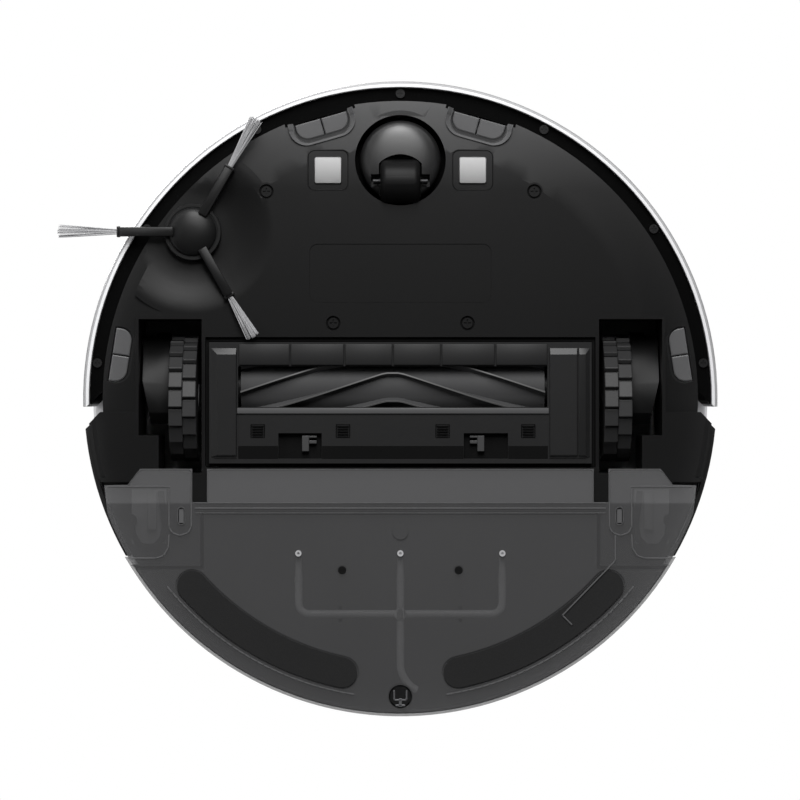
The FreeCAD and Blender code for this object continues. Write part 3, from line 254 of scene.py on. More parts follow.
def shade_by_place(material, axis_or_centre, start, end, colour):
    """Fade the base colour to another along one axis, or with distance from an upright line, in metres."""
    tree = material.node_tree
    place = tree.nodes.new("ShaderNodeTexCoord")
    if axis_or_centre in ("X", "Y", "Z"):
        parts = tree.nodes.new("ShaderNodeSeparateXYZ")
        tree.links.new(place.outputs["Object"], parts.inputs["Vector"])
        amount = parts.outputs[axis_or_centre]
    else:
        flat = tree.nodes.new("ShaderNodeVectorMath")
        flat.operation = "MULTIPLY"
        flat.inputs[1].default_value = (1, 1, 0)
        tree.links.new(place.outputs["Object"], flat.inputs[0])
        gap = tree.nodes.new("ShaderNodeVectorMath")
        gap.operation = "DISTANCE"
        gap.inputs[1].default_value = (*axis_or_centre, 0)
        tree.links.new(flat.outputs["Vector"], gap.inputs[0])
        amount = gap.outputs["Value"]
    span = tree.nodes.new("ShaderNodeMapRange")
    span.inputs["From Min"].default_value = start
    span.inputs["From Max"].default_value = end
    tree.links.new(amount, span.inputs["Value"])
    mix = tree.nodes.new("ShaderNodeMix")
    mix.data_type = "RGBA"
    mix.inputs["B"].default_value = (*colour, 1)
    shader = tree.nodes["Principled BSDF"]
    tree.links.new(shader.inputs["Base Color"].links[0].from_socket, mix.inputs["A"])
    tree.links.new(span.outputs["Result"], mix.inputs["Factor"])
    tree.links.new(mix.outputs["Result"], shader.inputs["Base Color"])


# painted shade: the white shell's colour turns grey beyond a radius of about 173 mm, on its rounded lower rim,
# which turns away from the lamps; above a height of 17.5 to 20 mm the colour is lifted to a lighter white, so
# only the lower rim is shaded
shell_plastic = finish("shell_plastic", (0.62, 0.62, 0.63), 0.35, drift=0.01, grain=0.03)
shade_by_place(shell_plastic, (0, 0), 0.1731, 0.1733, (0.30, 0.30, 0.305))
shade_by_place(shell_plastic, "Z", 0.0175, 0.0200, (0.7, 0.7, 0.71))
wall_plastic = finish("wall_plastic", (0.8, 0.8, 0.81), 0.35, drift=0.01, grain=0.03)
shade_by_place(wall_plastic, "Z", 0.0222, 0.0218, grey(0.006))
# painted highlight: the pan's colour lightens towards its front edge, where the pan rises and turns to the
# lamps
shade_by_place(pan_plastic, "Y", -0.1150, -0.1640, grey(0.034))
# painted light and shade: the plated contacts' colour is lighter at the front and darker towards the rear, as
# the lamps in front light their front ends
shade_by_place(contact_metal, "Y", -0.1325, -0.1185, (0.28, 0.28, 0.28))
# painted highlight: the front band of the tank is given a lighter colour, as it slopes towards the lamps in
# front
shade_by_place(smoked_plastic, "Y", 0.0580, 0.0570, grey(0.14))

# painted highlight: the fins' thin tips are given a lighter colour, rising with distance from the roller's
# axis, where they catch the light
tree = fin_rubber.node_tree
place = tree.nodes.new("ShaderNodeTexCoord")
parts = tree.nodes.new("ShaderNodeSeparateXYZ")
tree.links.new(place.outputs["Object"], parts.inputs["Vector"])
flat = tree.nodes.new("ShaderNodeCombineXYZ")
tree.links.new(parts.outputs["Y"], flat.inputs["Y"])
tree.links.new(parts.outputs["Z"], flat.inputs["Z"])
gap = tree.nodes.new("ShaderNodeVectorMath")
gap.operation = "DISTANCE"
gap.inputs[1].default_value = (0, -0.0065, 0.026)
tree.links.new(flat.outputs["Vector"], gap.inputs[0])
tip = tree.nodes.new("ShaderNodeMapRange")
tip.inputs["From Min"].default_value = 0.0198
tip.inputs["From Max"].default_value = 0.0203
tree.links.new(gap.outputs["Value"], tip.inputs["Value"])
painted_tip_highlight = tree.nodes.new("ShaderNodeMix")
painted_tip_highlight.data_type = "RGBA"
painted_tip_highlight.inputs["B"].default_value = (0.12, 0.12, 0.12, 1)
shader = tree.nodes["Principled BSDF"]
tree.links.new(shader.inputs["Base Color"].links[0].from_socket, painted_tip_highlight.inputs["A"])
tree.links.new(tip.outputs["Result"], painted_tip_highlight.inputs["Factor"])
tree.links.new(painted_tip_highlight.outputs["Result"], shader.inputs["Base Color"])

turret_glass = finish("turret_glass", grey(0.02), 0.12, coat=0.5)
print("finishes:", len(bpy.data.materials))

# %% Finishes for the solids that stay
solid_finish = {
    "chassis": pan_plastic, "cliff_windows": window_plastic, "charging_contacts": contact_metal,
    "chassis_screws": screw_metal, "side_wall": wall_plastic, "bumper_shell": shell_plastic,
    "bumper_window": turret_glass, "bumper_frame": edge_plastic, "bumper_screws": screw_metal,
    "caster_socket": inner_plastic, "caster_fork": fork_plastic, "caster_axle": axle_steel,
    "caster_wheel": fork_plastic, "side_brush_hub": arm_plastic, "side_brush_arms": arm_plastic,
    "side_brush_bristles": bristle_nylon, "side_brush_motor": grey_plastic, "left_tyre": tread_rubber,
    "left_rim": grey_plastic, "left_gearbox": gearbox_plastic, "left_suspension_spring": steel,
    "right_tyre": tread_rubber, "right_rim": grey_plastic, "right_gearbox": gearbox_plastic,
    "right_suspension_spring": steel, "suspension_pins": steel, "brush_bay": inner_plastic,
    "brush_core": roller_rubber, "brush_fins": fin_rubber, "brush_bearings": inner_plastic,
    "brush_belt": flap_rubber, "brush_motor": steel, "motor_pulley": steel, "guard_frame": guard_plastic,
    "guard_flaps": flap_rubber, "left_guard_latch": latch_plastic, "right_guard_latch": latch_plastic,
    "tank_shell": smoked_plastic, "tank_cover": smoked_lid, "mop_strips": loop_fabric,
    "tank_plug": arm_plastic, "tank_screws": screw_metal, "tank_nozzles": nozzle_plastic,
    "tank_hoses": hose_rubber, "left_tank_latch": latch_plastic, "right_tank_latch": latch_plastic,
    "top_cover": white_plastic, "bin_lid": white_plastic, "power_button": white_plastic,
    "home_button": white_plastic, "lidar_mount": inner_plastic, "lidar_rotor": inner_plastic,
    "turret_cover": white_plastic, "battery_pack": cell_wrap, "main_board": board_lacquer,
    "bin_body": bin_plastic, "bin_filter": filter_paper, "fan_housing": inner_plastic,
    "impeller": grey_plastic, "water_pump": grey_plastic,
}
for name, material in solid_finish.items():
    nodes[name].data.materials.clear()
    nodes[name].data.materials.append(material)
print("solids with a finish:", len(solid_finish), "of", len(nodes))

# %% [markdown]
# No moulded edge is a knife edge. The solids arrive as loose triangles, so a copy of each large moulding is
# merged, its flat faces are made whole again, and a live bevel rounds its sharp edges. The bevel is what
# catches the light along rims and recesses. Working on a copy keeps every size exactly as it was.

# %% Soft edges on the large mouldings
body_of = {name: solid["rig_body"] for name, solid in nodes.items()}


def refined(name, width, material, slot_name):
    """A merged copy of a solid, with rounded edges, that takes the solid's place."""
    piece = duplicate(nodes[name])
    piece.parent = None
    for note in list(piece.keys()):
        del piece[note]
    only(piece)
    settle(piece, name + "_moulding")
    bpy.ops.object.mode_set(mode="EDIT")
    bpy.ops.mesh.select_all(action="SELECT")
    bpy.ops.mesh.remove_doubles(threshold=0.000004)
    bpy.ops.mesh.dissolve_limited(angle_limit=math.radians(0.03))
    bpy.ops.object.mode_set(mode="OBJECT")
    bevel = piece.modifiers.new("soft_edge", "BEVEL")
    bevel.width = width * MM
    bevel.segments = 2
    bevel.limit_method = "ANGLE"
    bevel.angle_limit = math.radians(28)
    bevel.use_clamp_overlap = True
    if "gearbox" in name:
        bevel.segments = 5
        return dress(piece, material, body_of[name], slot_name, name, smooth=65)
    dress(piece, material, body_of[name], slot_name, name, smooth=28)
    even = piece.modifiers.new("flat_faces_stay_flat", "WEIGHTED_NORMAL")
    even.weight = 100
    even.keep_sharp = True
    return piece


for name, width, slot_name in (
    ("chassis", 0.45, "black_shell"), ("tank_shell", 0.35, "smoke"),
    ("bumper_shell", 0.25, "white_shell"), ("bumper_frame", 0.3, "black_shell"),
    ("side_wall", 0.3, "white_shell"), ("left_gearbox", 2.2, "dark_shell"),
    ("right_gearbox", 2.2, "dark_shell"), ("top_cover", 0.4, "white_shell"),
    ("bin_lid", 0.4, "white_shell"), ("turret_cover", 0.4, "white_shell"),
    ("left_guard_latch", 0.3, "dark_shell"), ("right_guard_latch", 0.3, "dark_shell"),
):
    refined(name, width, solid_finish[name], slot_name)

# %% [markdown]
# The roller's rubber fins run outwards from the middle in a chevron, so that dirt is swept towards the
# suction mouth. One blade is extruded along the roller, twisted by a modifier, mirrored, and then copied
# round the core. Bending each blade by hand would be slower and less even.

# %% Chevron fins of the main brush
ROLLER_Y, ROLLER_Z, APEX_X = -6.5, 26.0, -4.2
clear_selection()
bpy.ops.mesh.primitive_plane_add(size=1, location=(0, 0, 0), rotation=(0, math.radians(90), 0))
blade = bpy.context.object
blade.scale = (10.6 * MM, 0.8 * MM, 1)
blade.location = (0, 0, 15.0 * MM)
bpy.ops.object.transform_apply(location=True, rotation=True, scale=True)
bpy.ops.object.mode_set(mode="EDIT")
bpy.ops.mesh.select_all(action="SELECT")
for step in range(28):
    bpy.ops.mesh.extrude_region_move(TRANSFORM_OT_translate={"value": (83.6 / 28 * MM, 0, 0)})
bpy.ops.mesh.select_all(action="SELECT")
bpy.ops.mesh.normals_make_consistent(inside=False)
bpy.ops.object.mode_set(mode="OBJECT")
twist = blade.modifiers.new("twist", "SIMPLE_DEFORM")
twist.deform_method = "TWIST"
twist.deform_axis = "X"
twist.angle = math.radians(75)
twist.limits = (0.05, 1.0)
bpy.ops.object.modifier_apply(modifier="twist")
mirror = blade.modifiers.new("mirror", "MIRROR")
mirror.use_axis = (True, False, False)
mirror.merge_threshold = 0.00005
bpy.ops.object.modifier_apply(modifier="mirror")
blades = [blade] + [duplicate(blade, Matrix.Rotation(math.radians(45 * k), 4, "X")) for k in range(1, 8)]
fins = gather(blades, "chevron_fins")
fins.data.transform(Matrix.Translation(Vector((APEX_X, ROLLER_Y, ROLLER_Z)) * MM)
                    @ Matrix.Rotation(math.radians(19.3), 4, "X"))
clear_selection()
bpy.ops.mesh.primitive_cylinder_add(vertices=48, radius=16.2 * MM, depth=167 * MM,
                                    rotation=(0, math.radians(90), 0),
                                    location=(APEX_X * MM, ROLLER_Y * MM, ROLLER_Z * MM))
sleeve = bpy.context.object
fins = gather([fins, sleeve], "chevron_fins")
dress(fins, fin_rubber, "main_brush", "rubber", "brush_fins")

# %% [markdown]
# The guard's front edge carries six soft flaps that hang close together, so that cables don't reach the
# roller. Each is its own moulded block. The bar behind the roller is a smoother strip, and four little
# ribbed pads and three sunk strips break up the rear panel.

# %% Guard flaps, bar and pads
walls = (-89.0, -60.5, -30.7, -4.1, 22.4, 52.1, 81.0)
flaps = []
for left, right in zip(walls, walls[1:]):
    flaps.append(block((left + 0.45, -29.9, 4.7), (right - 0.45, -18.4, 6.45), 0.45))
flaps.append(block((-87.4, -29.3, 8.1), (79.6, -19.5, 9.1), 0.2))
dress(gather(flaps, "cable_flaps"), flap_rubber, "guard", "rubber", "guard_flaps")
bar = settle(block((-89.6, 5.2, 5.6), (81.4, 8.2, 5.95), 0.15), "guard_bar")
dress(bar, bar_plastic, "guard", "dark_shell")

ends = []
for low_x, high_x, outer_slope, inner_slope in (
    (-104.7, -89.7, 4.2, 0.3), (81.7, 97.4, 0.3, 0.3), (97.7, 104.6, 3.0, 0.2),
):
    end = block((low_x, -28.4, 4.7), (high_x, 32.7, 6.9))
    left, right = (outer_slope, inner_slope) if low_x < 0 else (inner_slope, outer_slope)
    for corner in end.data.vertices:
        if corner.co.z < 0.005:
            corner.co.x += (left if corner.co.x < (low_x + high_x) / 2 * MM else -right) * MM
            corner.co.y += (4.2 if corner.co.y < 0 else -1.5) * MM
    soft = end.modifiers.new("soft", "BEVEL")
    soft.width = 0.35 * MM
    soft.segments = 2
    only(end)
    bpy.ops.object.modifier_apply(modifier="soft")
    ends.append(end)
dress(gather(ends, "guard_end_blocks"), guard_plastic, "guard", "dark_shell", smooth=15)

pads = []
for x in (-78.3, -31.5, 23.2, 70.2):
    for k in range(5):
        y = 14.9 + 1.45 * k
        pads.append(block((x - 3.0, y, 6.2), (x + 3.0, y + 0.7, 7.6), 0.15, 1))
    for low, high in (((-3.9, 14.3), (-3.4, 21.4)), ((3.4, 14.3), (3.9, 21.4)), ((-3.9, 14.0), (3.9, 14.4)),
                      ((-3.9, 21.3), (3.9, 21.7))):
        pads.append(block((x + low[0], low[1], 6.35), (x + high[0], high[1], 7.6), 0.1, 1))
dress(gather(pads, "ribbed_pads"), inner_plastic, "guard", "dark_shell")
# painted shade: the sunk strips are plates of the darkest plastic laid in the rear panel's recesses and the
# latch bays, standing for the shade in them
sunk = []
for left, right in ((-89, -67.1), (-43.1, 34.7), (59.2, 81.0)):
    sunk.append(block((left, 26.0, 6.42), (right, 33.2, 6.9), 0.1, 1))
for left, right in ((-66.9, -43.3), (34.9, 59.0)):
    sunk.append(block((left, 19.1, 10.3), (right, 33.0, 10.49), 0.05, 1))
dress(gather(sunk, "sunk_strips"), inner_plastic, "guard", "dark_shell")

# %% [markdown]
# The tyre has two rows of chunky blocks, the second row set half a step round from the first. One block is
# bevelled from a cube and copied round the axle, because the tread repeats exactly.

# %% Tyres
for side, name in ((-1, "left"), (1, "right")):
    centre = Vector((side * 119.6, 0, 35.0)) * MM
    outer = block((-7.6, -4.7, -33.8), (0.0, 4.7, -31.0), 0.5)
    outer.data.transform(Matrix.Translation((0, 0, -34.1 * MM)) @ Matrix.Rotation(math.radians(-12), 4, "X")
                         @ Matrix.Translation((0, 0, 34.1 * MM)))
    tread = []
    for row in range(2):
        for k in range(20):
            turn = Matrix.Rotation(math.radians(18 * k + 9 * row), 4, "X")
            shift = Matrix.Translation(centre) @ turn @ Matrix.Translation(Vector((7.6 * row, 0, 0)) * MM)
            tread.append(duplicate(outer, shift))
    bpy.data.objects.remove(outer)
    band = lathe([(22.2, -7.4), (31.6, -7.4), (32.2, -6.9), (32.2, 6.9), (31.6, 7.4), (22.2, 7.4)], (0, 0), 96)
    band.data.transform(Matrix.Translation(centre) @ Matrix.Rotation(math.radians(90), 4, "Y"))
    tyre = gather([band] + tread, name + "_tread")
    dress(tyre, tread_rubber, name + "_wheel", "tyre", name + "_tyre", smooth=0)

# %% [markdown]
# A cliff sensor looks down through two tinted panes side by side in a rounded frame. Its inboard corners
# are round, so each pane is its own block, and the one upright edge at its inboard outer corner is bevelled
# alone.

# %% Cliff sensor windows
panes = []
for angle in (-81.2, -15.9, 15.9, 81.2):
    for low, high in ((-14.6, -0.35), (0.35, 14.6)):
        pane = block((low, -160.4, 13.2), (high, -151.2, 15.4))
        only(pane)
        bpy.ops.object.mode_set(mode="EDIT")
        bpy.ops.mesh.select_mode(type="EDGE")
        bpy.ops.mesh.select_all(action="DESELECT")
        bpy.ops.object.mode_set(mode="OBJECT")
        outboard = low if low < -1 else high
        for edge in pane.data.edges:
            ends = [pane.data.vertices[v].co / MM for v in edge.vertices]
            upright = abs(ends[0].x - ends[1].x) < 0.01 and abs(ends[0].y - ends[1].y) < 0.01
            edge.select = upright and ends[0].y > -152 and abs(ends[0].x - outboard) < 0.1
        bpy.ops.object.mode_set(mode="EDIT")
        bpy.ops.mesh.bevel(offset=6.4 * MM, segments=8, affect="EDGES")
        bpy.ops.mesh.select_mode(type="FACE")
        bpy.ops.mesh.select_all(action="DESELECT")
        bpy.ops.object.mode_set(mode="OBJECT")
        for face in pane.data.polygons:
            face.select = face.normal.z < -0.9
        bpy.ops.object.mode_set(mode="EDIT")
        bpy.ops.mesh.inset(thickness=0.55 * MM, depth=0)
        bpy.ops.transform.translate(value=(0, 0, -0.35 * MM))
        bpy.ops.object.mode_set(mode="OBJECT")
        pane.data.transform(Matrix.Rotation(math.radians(angle), 4, "Z"))
        panes.append(pane)
dress(gather(panes, "cliff_panes"), window_plastic, "body", "sensor", "cliff_windows", smooth=25)

# painted highlight: the rims round each window's inboard side are thin strips in a grey much lighter than the
# pan, standing for the chamfer lit by the front lamps
rims = []
for angle in (-15.9, 15.9):
    path = [(-15.6, 161.5), (-15.6, 158.6)] + [
        (-8.7 + 7.1 * math.cos(a), 157.6 + 7.1 * math.sin(a))
        for a in [math.radians(180 + 90 * k / 8) for k in range(9)]]
    path += [(-x, y) for x, y in reversed(path)]
    for (x1, y1), (x2, y2) in zip(path, path[1:]):
        length = math.hypot(x2 - x1, y2 - y1)
        run = block((-0.35, -4.2, -0.25), (length + 0.35, 0, 0), 0.08, 1)
        aim = math.atan2(y2 - y1, x2 - x1)
        tilt = Matrix.Rotation(math.radians(45), 4, "X")
        run.data.transform(Matrix.Rotation(math.radians(angle), 4, "Z")
                           @ Matrix.Rotation(math.radians(180), 4, "Z")
                           @ Matrix.Translation(Vector((x1, y1, 13.5)) * MM)
                           @ Matrix.Rotation(aim, 4, "Z") @ tilt)
        rims.append(run)
dress(gather(rims, "cliff_rims"), bar_plastic, "body", "black_shell", smooth=40)

# %% [markdown]
# The charging contacts sit in square plastic bezels with round corners, and the screws sit in round pockets.
# Both are sunk, and as painted shade their floors, the rings in the pockets and the floor of the plain label
# recess get finishes darker than the pan, so only the rim shows.

# %% Bezels, screw pockets and the plain label recess
def rounded_plate(low, high, corner, edge=0.0):
    """A plate with round upright corners."""
    plate = block(low, high)
    only(plate)
    bpy.ops.object.mode_set(mode="EDIT")
    bpy.ops.mesh.select_mode(type="EDGE")
    bpy.ops.mesh.select_all(action="DESELECT")
    bpy.ops.object.mode_set(mode="OBJECT")
    for line in plate.data.edges:
        ends = [plate.data.vertices[v].co for v in line.vertices]
        line.select = abs(ends[0].z - ends[1].z) > 0.5 * abs(high[2] - low[2]) * MM
    bpy.ops.object.mode_set(mode="EDIT")
    bpy.ops.mesh.bevel(offset=corner * MM, segments=8, affect="EDGES")
    bpy.ops.object.mode_set(mode="OBJECT")
    if edge:
        bpy.ops.object.mode_set(mode="EDIT")
        bpy.ops.mesh.select_mode(type="FACE")
        bpy.ops.mesh.select_all(action="DESELECT")
        bpy.ops.object.mode_set(mode="OBJECT")
        for face in plate.data.polygons:
            face.select = face.normal.z < -0.9
        bpy.ops.object.mode_set(mode="EDIT")
        bpy.ops.mesh.inset(thickness=edge * MM, depth=0)
        bpy.ops.transform.translate(value=(0, 0, edge * 0.8 * MM))
        bpy.ops.object.mode_set(mode="OBJECT")
    return plate


plates = []
for side in (-1, 1):
    middle = side * 39.8
    plates.append(rounded_plate((middle - 11.1, -136.6, 10.5), (middle + 11.1, -114.6, 11.7), 3.6, 0.6))
dress(gather(plates, "contact_bezels"), recess_shade_plastic, "body", "black_shell")
pockets = [rounded_plate((-49.7, -84.75, 10.35), (49.7, -52.85, 10.48), 4.3)]
dress(gather(pockets, "label_floor"), recess_shade_plastic, "body", "black_shell")
rings = []
for x, y in BIG_SCREWS:
    rings.append(lathe([(3.9, 11.45), (3.9, 11.2), (3.1, 11.2), (3.1, 11.45)], (x, y), 32))
dress(gather(rings, "screw_pockets"), inner_plastic, "body", "black_shell")

# %% [markdown]
# The water tank is smoked plastic, and its ribs and pockets show as fine raised lines. They are modelled as
# thin ridges that stand a little way out of the plate.

# %% Tank ridges, pockets and rear latch
def ridge(points, width=0.7, low=6.15, high=7.0):
    """A thin wall that follows a line of points."""
    runs = []
    for (x1, y1), (x2, y2) in zip(points, points[1:]):
        length = math.hypot(x2 - x1, y2 - y1)
        run = block((-width / 2, -width / 2, low), (length + width / 2, width / 2, high), 0.15, 1)
        aim = math.atan2(y2 - y1, x2 - x1)
        run.data.transform(Matrix.Translation(Vector((x1, y1, 0)) * MM) @ Matrix.Rotation(aim, 4, "Z"))
        runs.append(run)
    return runs


def arc(radius, start, end, centre=(0, 0), steps=24):
    """Points along an arc, in degrees from the rear."""
    angles = [math.radians(start + (end - start) * k / steps) for k in range(steps + 1)]
    return [(centre[0] + radius * math.sin(a), centre[1] + radius * math.cos(a)) for a in angles]


lines = []
for y, width in ((57.4, 0.5), (60.2, 0.8), (62.9, 0.5)):
    lines += ridge([(-112.5, y), (112.5, y)], width)
for side in (-1, 1):
    pocket = [(114.8, 48.6), (114.8, 70.5), (116.5, 73.6), (121, 75.2), (125.4, 73.6), (127, 70.4), (127, 50)]
    hold = [(127, 75), (127.4, 82), (130, 86.2), (134, 87.6), (149, 87.6)]
    tab = [(126.8, 48.3), (160.5, 48.3)]
    for line in (pocket, hold, tab):
        lines += ridge([(side * x, y) for x, y in line], 0.8)
    oval = arc(2.0, 90, -90, (120.3, 67.4), 8) + arc(2.0, -90, -270, (120.3, 61.6), 8)
    lines += ridge([(side * x, y) for x, y in oval + oval[:1]], 0.5)
    lines.append(block((side * 120.3 - 1.4, 60.6, 6.9), (side * 120.3 + 1.4, 68.4, 7.3), 0.1, 1))
    lines += ridge([(side * x, y) for x, y in arc(164.4, 9, 51, (0, 0), 30)], 0.9)
for side in (-1, 1):
    lines += ridge([(side * x, y) for x, y in ((0, 38.95), (104.6, 38.95), (105.9, 40.2), (105.9, 56.7))], 0.4)
    tab = ((114.7, 56.7), (114.7, 40.3), (116, 38.95), (141.5, 38.95), (144, 40.2), (149.6, 47.7), (160, 47.9))
    lines += ridge([(side * x, y) for x, y in tab], 0.4)
lines += ridge([(118, 75.5), (118, 89), (89, 119), (94, 124)], 0.8)
dress(gather(lines, "tank_ridges"), ridge_plastic, "tank", "smoke", smooth=20)

for side, name in ((-1, "left"), (1, "right")):
    hook = ridge([(side * x, y) for x, y in
                  [(131.6, 52.5), (130.4, 62), (129.6, 70), (131, 77), (135, 81.5), (139.5, 82.4), (144, 80.3),
                   (147, 75), (148.3, 68)]], 3.2, 9.2, 12.6)
    clear_selection()
    bpy.ops.mesh.primitive_cylinder_add(vertices=32, radius=3.3 * MM, depth=3.2 * MM,
                                        location=(side * 148.2 * MM, 67 * MM, 10.9 * MM))
    hook.append(bpy.context.object)
    dress(gather(hook, name + "_hook"), inner_plastic, "tank_latch_" + name, "dark_shell", name + "_tank_latch")
    plates = [block((min(side * 129, side * 148), 50, 13.2), (max(side * 129, side * 148), 80, 13.8), 0.2)]
    plates.append(block((min(side * 134, side * 139), 51, 9.3), (max(side * 134, side * 139), 72, 12.8), 0.5))
    dress(gather(plates, name + "_hook_pocket"), hook_plastic, "tank", "grey_plastic")

latch = ridge([(-3.4, 160.6), (-3.4, 165.4), (3.4, 165.4), (3.4, 160.6)], 0.9, 5.85, 6.6)
latch += ridge([(0, 165.4), (0, 168.4)], 1.6, 5.85, 6.6) + ridge([(-2.2, 168.4), (2.2, 168.4)], 0.9, 5.85, 6.6)
dress(gather(latch, "rear_latch_spring"), steel, "tank", "steel")

# %% [markdown]
# The side brush has a domed hub and three arms, each a rubber sleeve that holds a tuft of nylon. A tuft is
# 56 thin strands that fan out and sag a little, because one wedge would look like a blade of plastic.

# %% Side brush
BRUSH = (-114.2, -91.6)
hub = lathe(
    [(15.7, 13.4), (15.7, 9.6), (15.3, 9.1), (13.9, 9.1), (13.7, 9.6), (13.2, 9.6), (13.1, 8.9), (12.4, 8.0),
     (10.5, 6.9), (8, 6.1), (5, 5.5), (2.5, 5.3), (0.3, 5.25)], BRUSH)
dress(settle(hub, "brush_dome"), arm_plastic, "side_brush", "dark_shell", "side_brush_hub")

sleeves = []
for angle in (180, 60, -60):
    arm = block((10.5, -2.6, 5.4), (41.2, 2.6, 9.0), 0.7)
    only(arm)
    bpy.ops.object.mode_set(mode="EDIT")
    bpy.ops.mesh.select_all(action="SELECT")
    bpy.ops.mesh.bisect(plane_co=(10.5 * MM, 0, 5.4 * MM), plane_no=(0.75, -0.6, -0.2), clear_inner=False,
                        clear_outer=False)
    bpy.ops.object.mode_set(mode="OBJECT")
    lip = block((39.6, -3.0, 5.4), (41.5, 3.0, 9.2), 0.4)
    pair = gather([arm, lip], "sleeve")
    pair.data.transform(Matrix.Translation(Vector((*BRUSH, 0)) * MM)
                        @ Matrix.Rotation(math.radians(angle), 4, "Z"))
    sleeves.append(pair)
dress(gather(sleeves, "brush_sleeves"), arm_plastic, "side_brush", "grey_plastic", "side_brush_arms")

random.seed(7)
clear_selection()
bpy.ops.mesh.primitive_cone_add(vertices=5, radius1=0.26 * MM, radius2=0.12 * MM, depth=1,
                                location=(0, 0, 0.5))
strand = bpy.context.object
bpy.ops.object.transform_apply(location=True, rotation=True, scale=True)
bpy.ops.object.mode_set(mode="EDIT")
bpy.ops.mesh.select_all(action="SELECT")
bpy.ops.mesh.bisect(plane_co=(0, 0, 0.5), plane_no=(0, 0, 1))
bpy.ops.object.mode_set(mode="OBJECT")
tufts = []
for angle, reach in ((180, 73.8), (60, 67.6), (-60, 71.8)):
    for k in range(56):
        spread = random.uniform(-1, 1)
        start = Vector((41.0, spread * 1.2, random.uniform(6.2, 8.4))) * MM
        tip_at = reach - abs(spread) * 0.8 - random.random() * 1.2
        end = Vector((tip_at, spread * 3.7, random.uniform(1.2, 3.0))) * MM
        along = end - start
        stretch = Matrix.Diagonal((1, 1, along.length, 1))
        aim = along.to_track_quat("Z", "Y").to_matrix().to_4x4()
        place = Matrix.Translation(Vector((*BRUSH, 0)) * MM) @ Matrix.Rotation(math.radians(angle), 4, "Z")
        tufts.append(duplicate(strand, place @ Matrix.Translation(start) @ aim @ stretch))
bpy.data.objects.remove(strand)
dress(gather(tufts, "brush_bristles"), bristle_nylon, "side_brush", "bristle", "side_brush_bristles")

# %% [markdown]
# The caster is a smooth ball cut open for its roller. It is turned from a fine profile, and the opening is
# cut by a boolean, because a ball cut by hand would keep a ragged edge.

# %% Caster ball and roller
CASTER_Y = -131.2
ball = lathe(
    [(22.3, 31), (22.3, 17), (22.1, 15), (21.4, 13.2), (20.2, 11.7), (18.2, 10.4), (15.6, 9.5), (12.4, 8.9),
     (8.4, 8.5), (4, 8.3), (0.2, 8.25)], (0, CASTER_Y), 96)
settle(ball, "caster_ball")
clear_selection()
bpy.ops.mesh.primitive_cylinder_add(vertices=96, radius=16.3 * MM, depth=52 * MM, location=(0, -118 * MM, 0))
arch = settle(bpy.context.object, "arch")
sides = block((-11.8, -140, -1), (11.8, -90, 25.9))
meet = arch.modifiers.new("meet", "BOOLEAN")
meet.operation = "INTERSECT"
meet.object = sides
only(arch)
bpy.ops.object.modifier_apply(modifier="meet")
bpy.data.objects.remove(sides)
slots = settle(block((-16.2, -123.4, -1), (16.2, -116.6, 18)), "slots")
for tool in (arch, slots):
    opening = ball.modifiers.new("opening", "BOOLEAN")
    opening.operation = "DIFFERENCE"
    opening.solver = "EXACT"
    opening.object = tool
    only(ball)
    bpy.ops.object.modifier_apply(modifier="opening")
    bpy.data.objects.remove(tool)
dress(ball, fork_plastic, "caster", "dark_shell", "caster_fork", smooth=25)

roller = lathe(
    [(1.6, -11), (8.6, -11), (10.2, -10.7), (11.2, -10.0), (11.8, -8.9), (12.0, -7.6), (12.0, 7.6),
     (11.8, 8.9), (11.2, 10.0), (10.2, 10.7), (8.6, 11), (1.6, 11)], (0, 0), 64)
roller.data.transform(Matrix.Translation(Vector((0, CASTER_Y + 11.6, 12.0)) * MM)
                      @ Matrix.Rotation(math.radians(90), 4, "Y"))
settle(roller, "caster_roller_tread")
dress(roller, caster_rubber, "caster_roller", "rubber", "caster_wheel", smooth=40)

# %% [markdown]
# The camera looks straight up at the underside, as if the machine were held overhead, with the front at the
# top of the picture. A long lens keeps the sides nearly parallel. Around it the background is plain white
# to the camera but dim as a light, so that the soft lamps alone shape the dark plastic.

# %% Camera
camera_data = bpy.data.cameras.new("camera")
camera_data.lens = 150
camera_data.sensor_width = 36
camera_data.clip_start = 0.01
camera_data.clip_end = 50
camera = bpy.data.objects.new("camera", camera_data)
bpy.context.scene.collection.objects.link(camera)
distance = 0.220 / 0.12
camera.matrix_world = Matrix((
    (1, 0, 0, -0.0002),
    (0, -1, 0, 0.0008),
    (0, 0, -1, 0.010 - distance),
    (0, 0, 0, 1),
))
bpy.context.scene.camera = camera

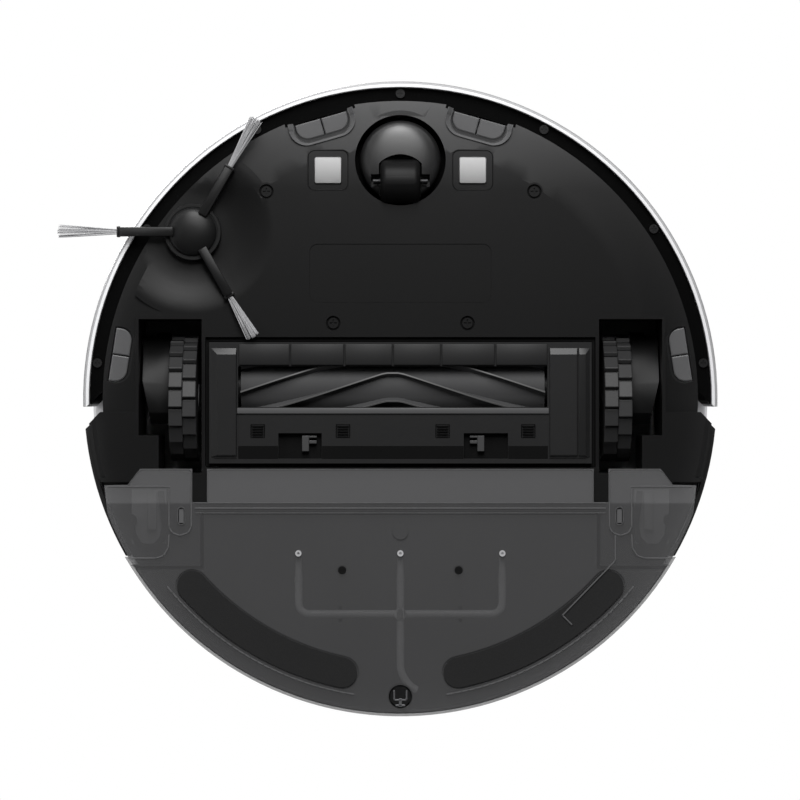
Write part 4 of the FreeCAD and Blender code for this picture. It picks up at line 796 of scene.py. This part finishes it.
# %% Light and background
world = bpy.data.worlds.new("studio")
bpy.context.scene.world = world
world.use_nodes = True
tree = world.node_tree
tree.nodes.clear()
seen = tree.nodes.new("ShaderNodeBackground")
seen.inputs["Color"].default_value = (1, 1, 1, 1)
dim = tree.nodes.new("ShaderNodeBackground")
dim.inputs["Color"].default_value = (0.16, 0.16, 0.165, 1)
ray = tree.nodes.new("ShaderNodeLightPath")
blend = tree.nodes.new("ShaderNodeMixShader")
out = tree.nodes.new("ShaderNodeOutputWorld")
tree.links.new(ray.outputs["Is Camera Ray"], blend.inputs["Fac"])
tree.links.new(dim.outputs["Background"], blend.inputs[1])
tree.links.new(seen.outputs["Background"], blend.inputs[2])
tree.links.new(blend.outputs["Shader"], out.inputs["Surface"])
bpy.context.scene.view_settings.view_transform = "Standard"


def lamp(name, place, aim, size, power):
    """A soft square lamp turned towards a point; the camera doesn't see it."""
    data = bpy.data.lights.new(name, "AREA")
    data.shape = "RECTANGLE"
    data.size = size
    data.size_y = size
    data.energy = power
    light = bpy.data.objects.new(name, data)
    bpy.context.scene.collection.objects.link(light)
    light.location = place
    light.rotation_euler = (Vector(aim) - Vector(place)).to_track_quat("-Z", "Y").to_euler()
    light.visible_camera = False
    return light


lamp("key", (0.05, -0.95, -1.3), (0, 0, 0), 0.6, 12)
lamp("front_sheen", (-0.05, -1.2, -0.8), (0, -0.1, 0), 0.5, 13)
lamp("front_glow", (0.0, -0.56, -0.85), (0, -0.12, 0), 0.3, 2.0)
lamp("side_glow", (-1.1, -0.3, -0.9), (0, 0, 0), 0.4, 3)
lamp("fill", (0.9, 0.7, -1.2), (0, 0, 0), 1.0, 3)
lamp("above", (-0.7, -0.9, 1.6), (0, 0, 0.05), 1.0, 30)
lamp("above_fill", (1.0, 0.6, 1.4), (0, 0, 0.05), 1.2, 12)
print("lamps:", len(bpy.data.lights))

# %% Floor
clear_selection()
bpy.ops.mesh.primitive_plane_add(size=6, location=(0, 0, 0.0002))
floor = bpy.context.object
floor.name = "floor"
floor_finish = bpy.data.materials.new("pale_floor")
floor_finish.use_nodes = True
tree = floor_finish.node_tree
shader = tree.nodes["Principled BSDF"]
shader.inputs["Base Color"].default_value = (0.8, 0.8, 0.8, 1)
shader.inputs["Roughness"].default_value = 0.7
side = tree.nodes.new("ShaderNodeNewGeometry")
hollow = tree.nodes.new("ShaderNodeBsdfTransparent")
mixed = tree.nodes.new("ShaderNodeMixShader")
tree.links.new(side.outputs["Backfacing"], mixed.inputs["Fac"])
tree.links.new(shader.outputs["BSDF"], mixed.inputs[1])
tree.links.new(hollow.outputs["BSDF"], mixed.inputs[2])
tree.links.new(mixed.outputs["Shader"], tree.nodes["Material Output"].inputs["Surface"])
floor.data.materials.append(floor_finish)
floor.visible_shadow = False
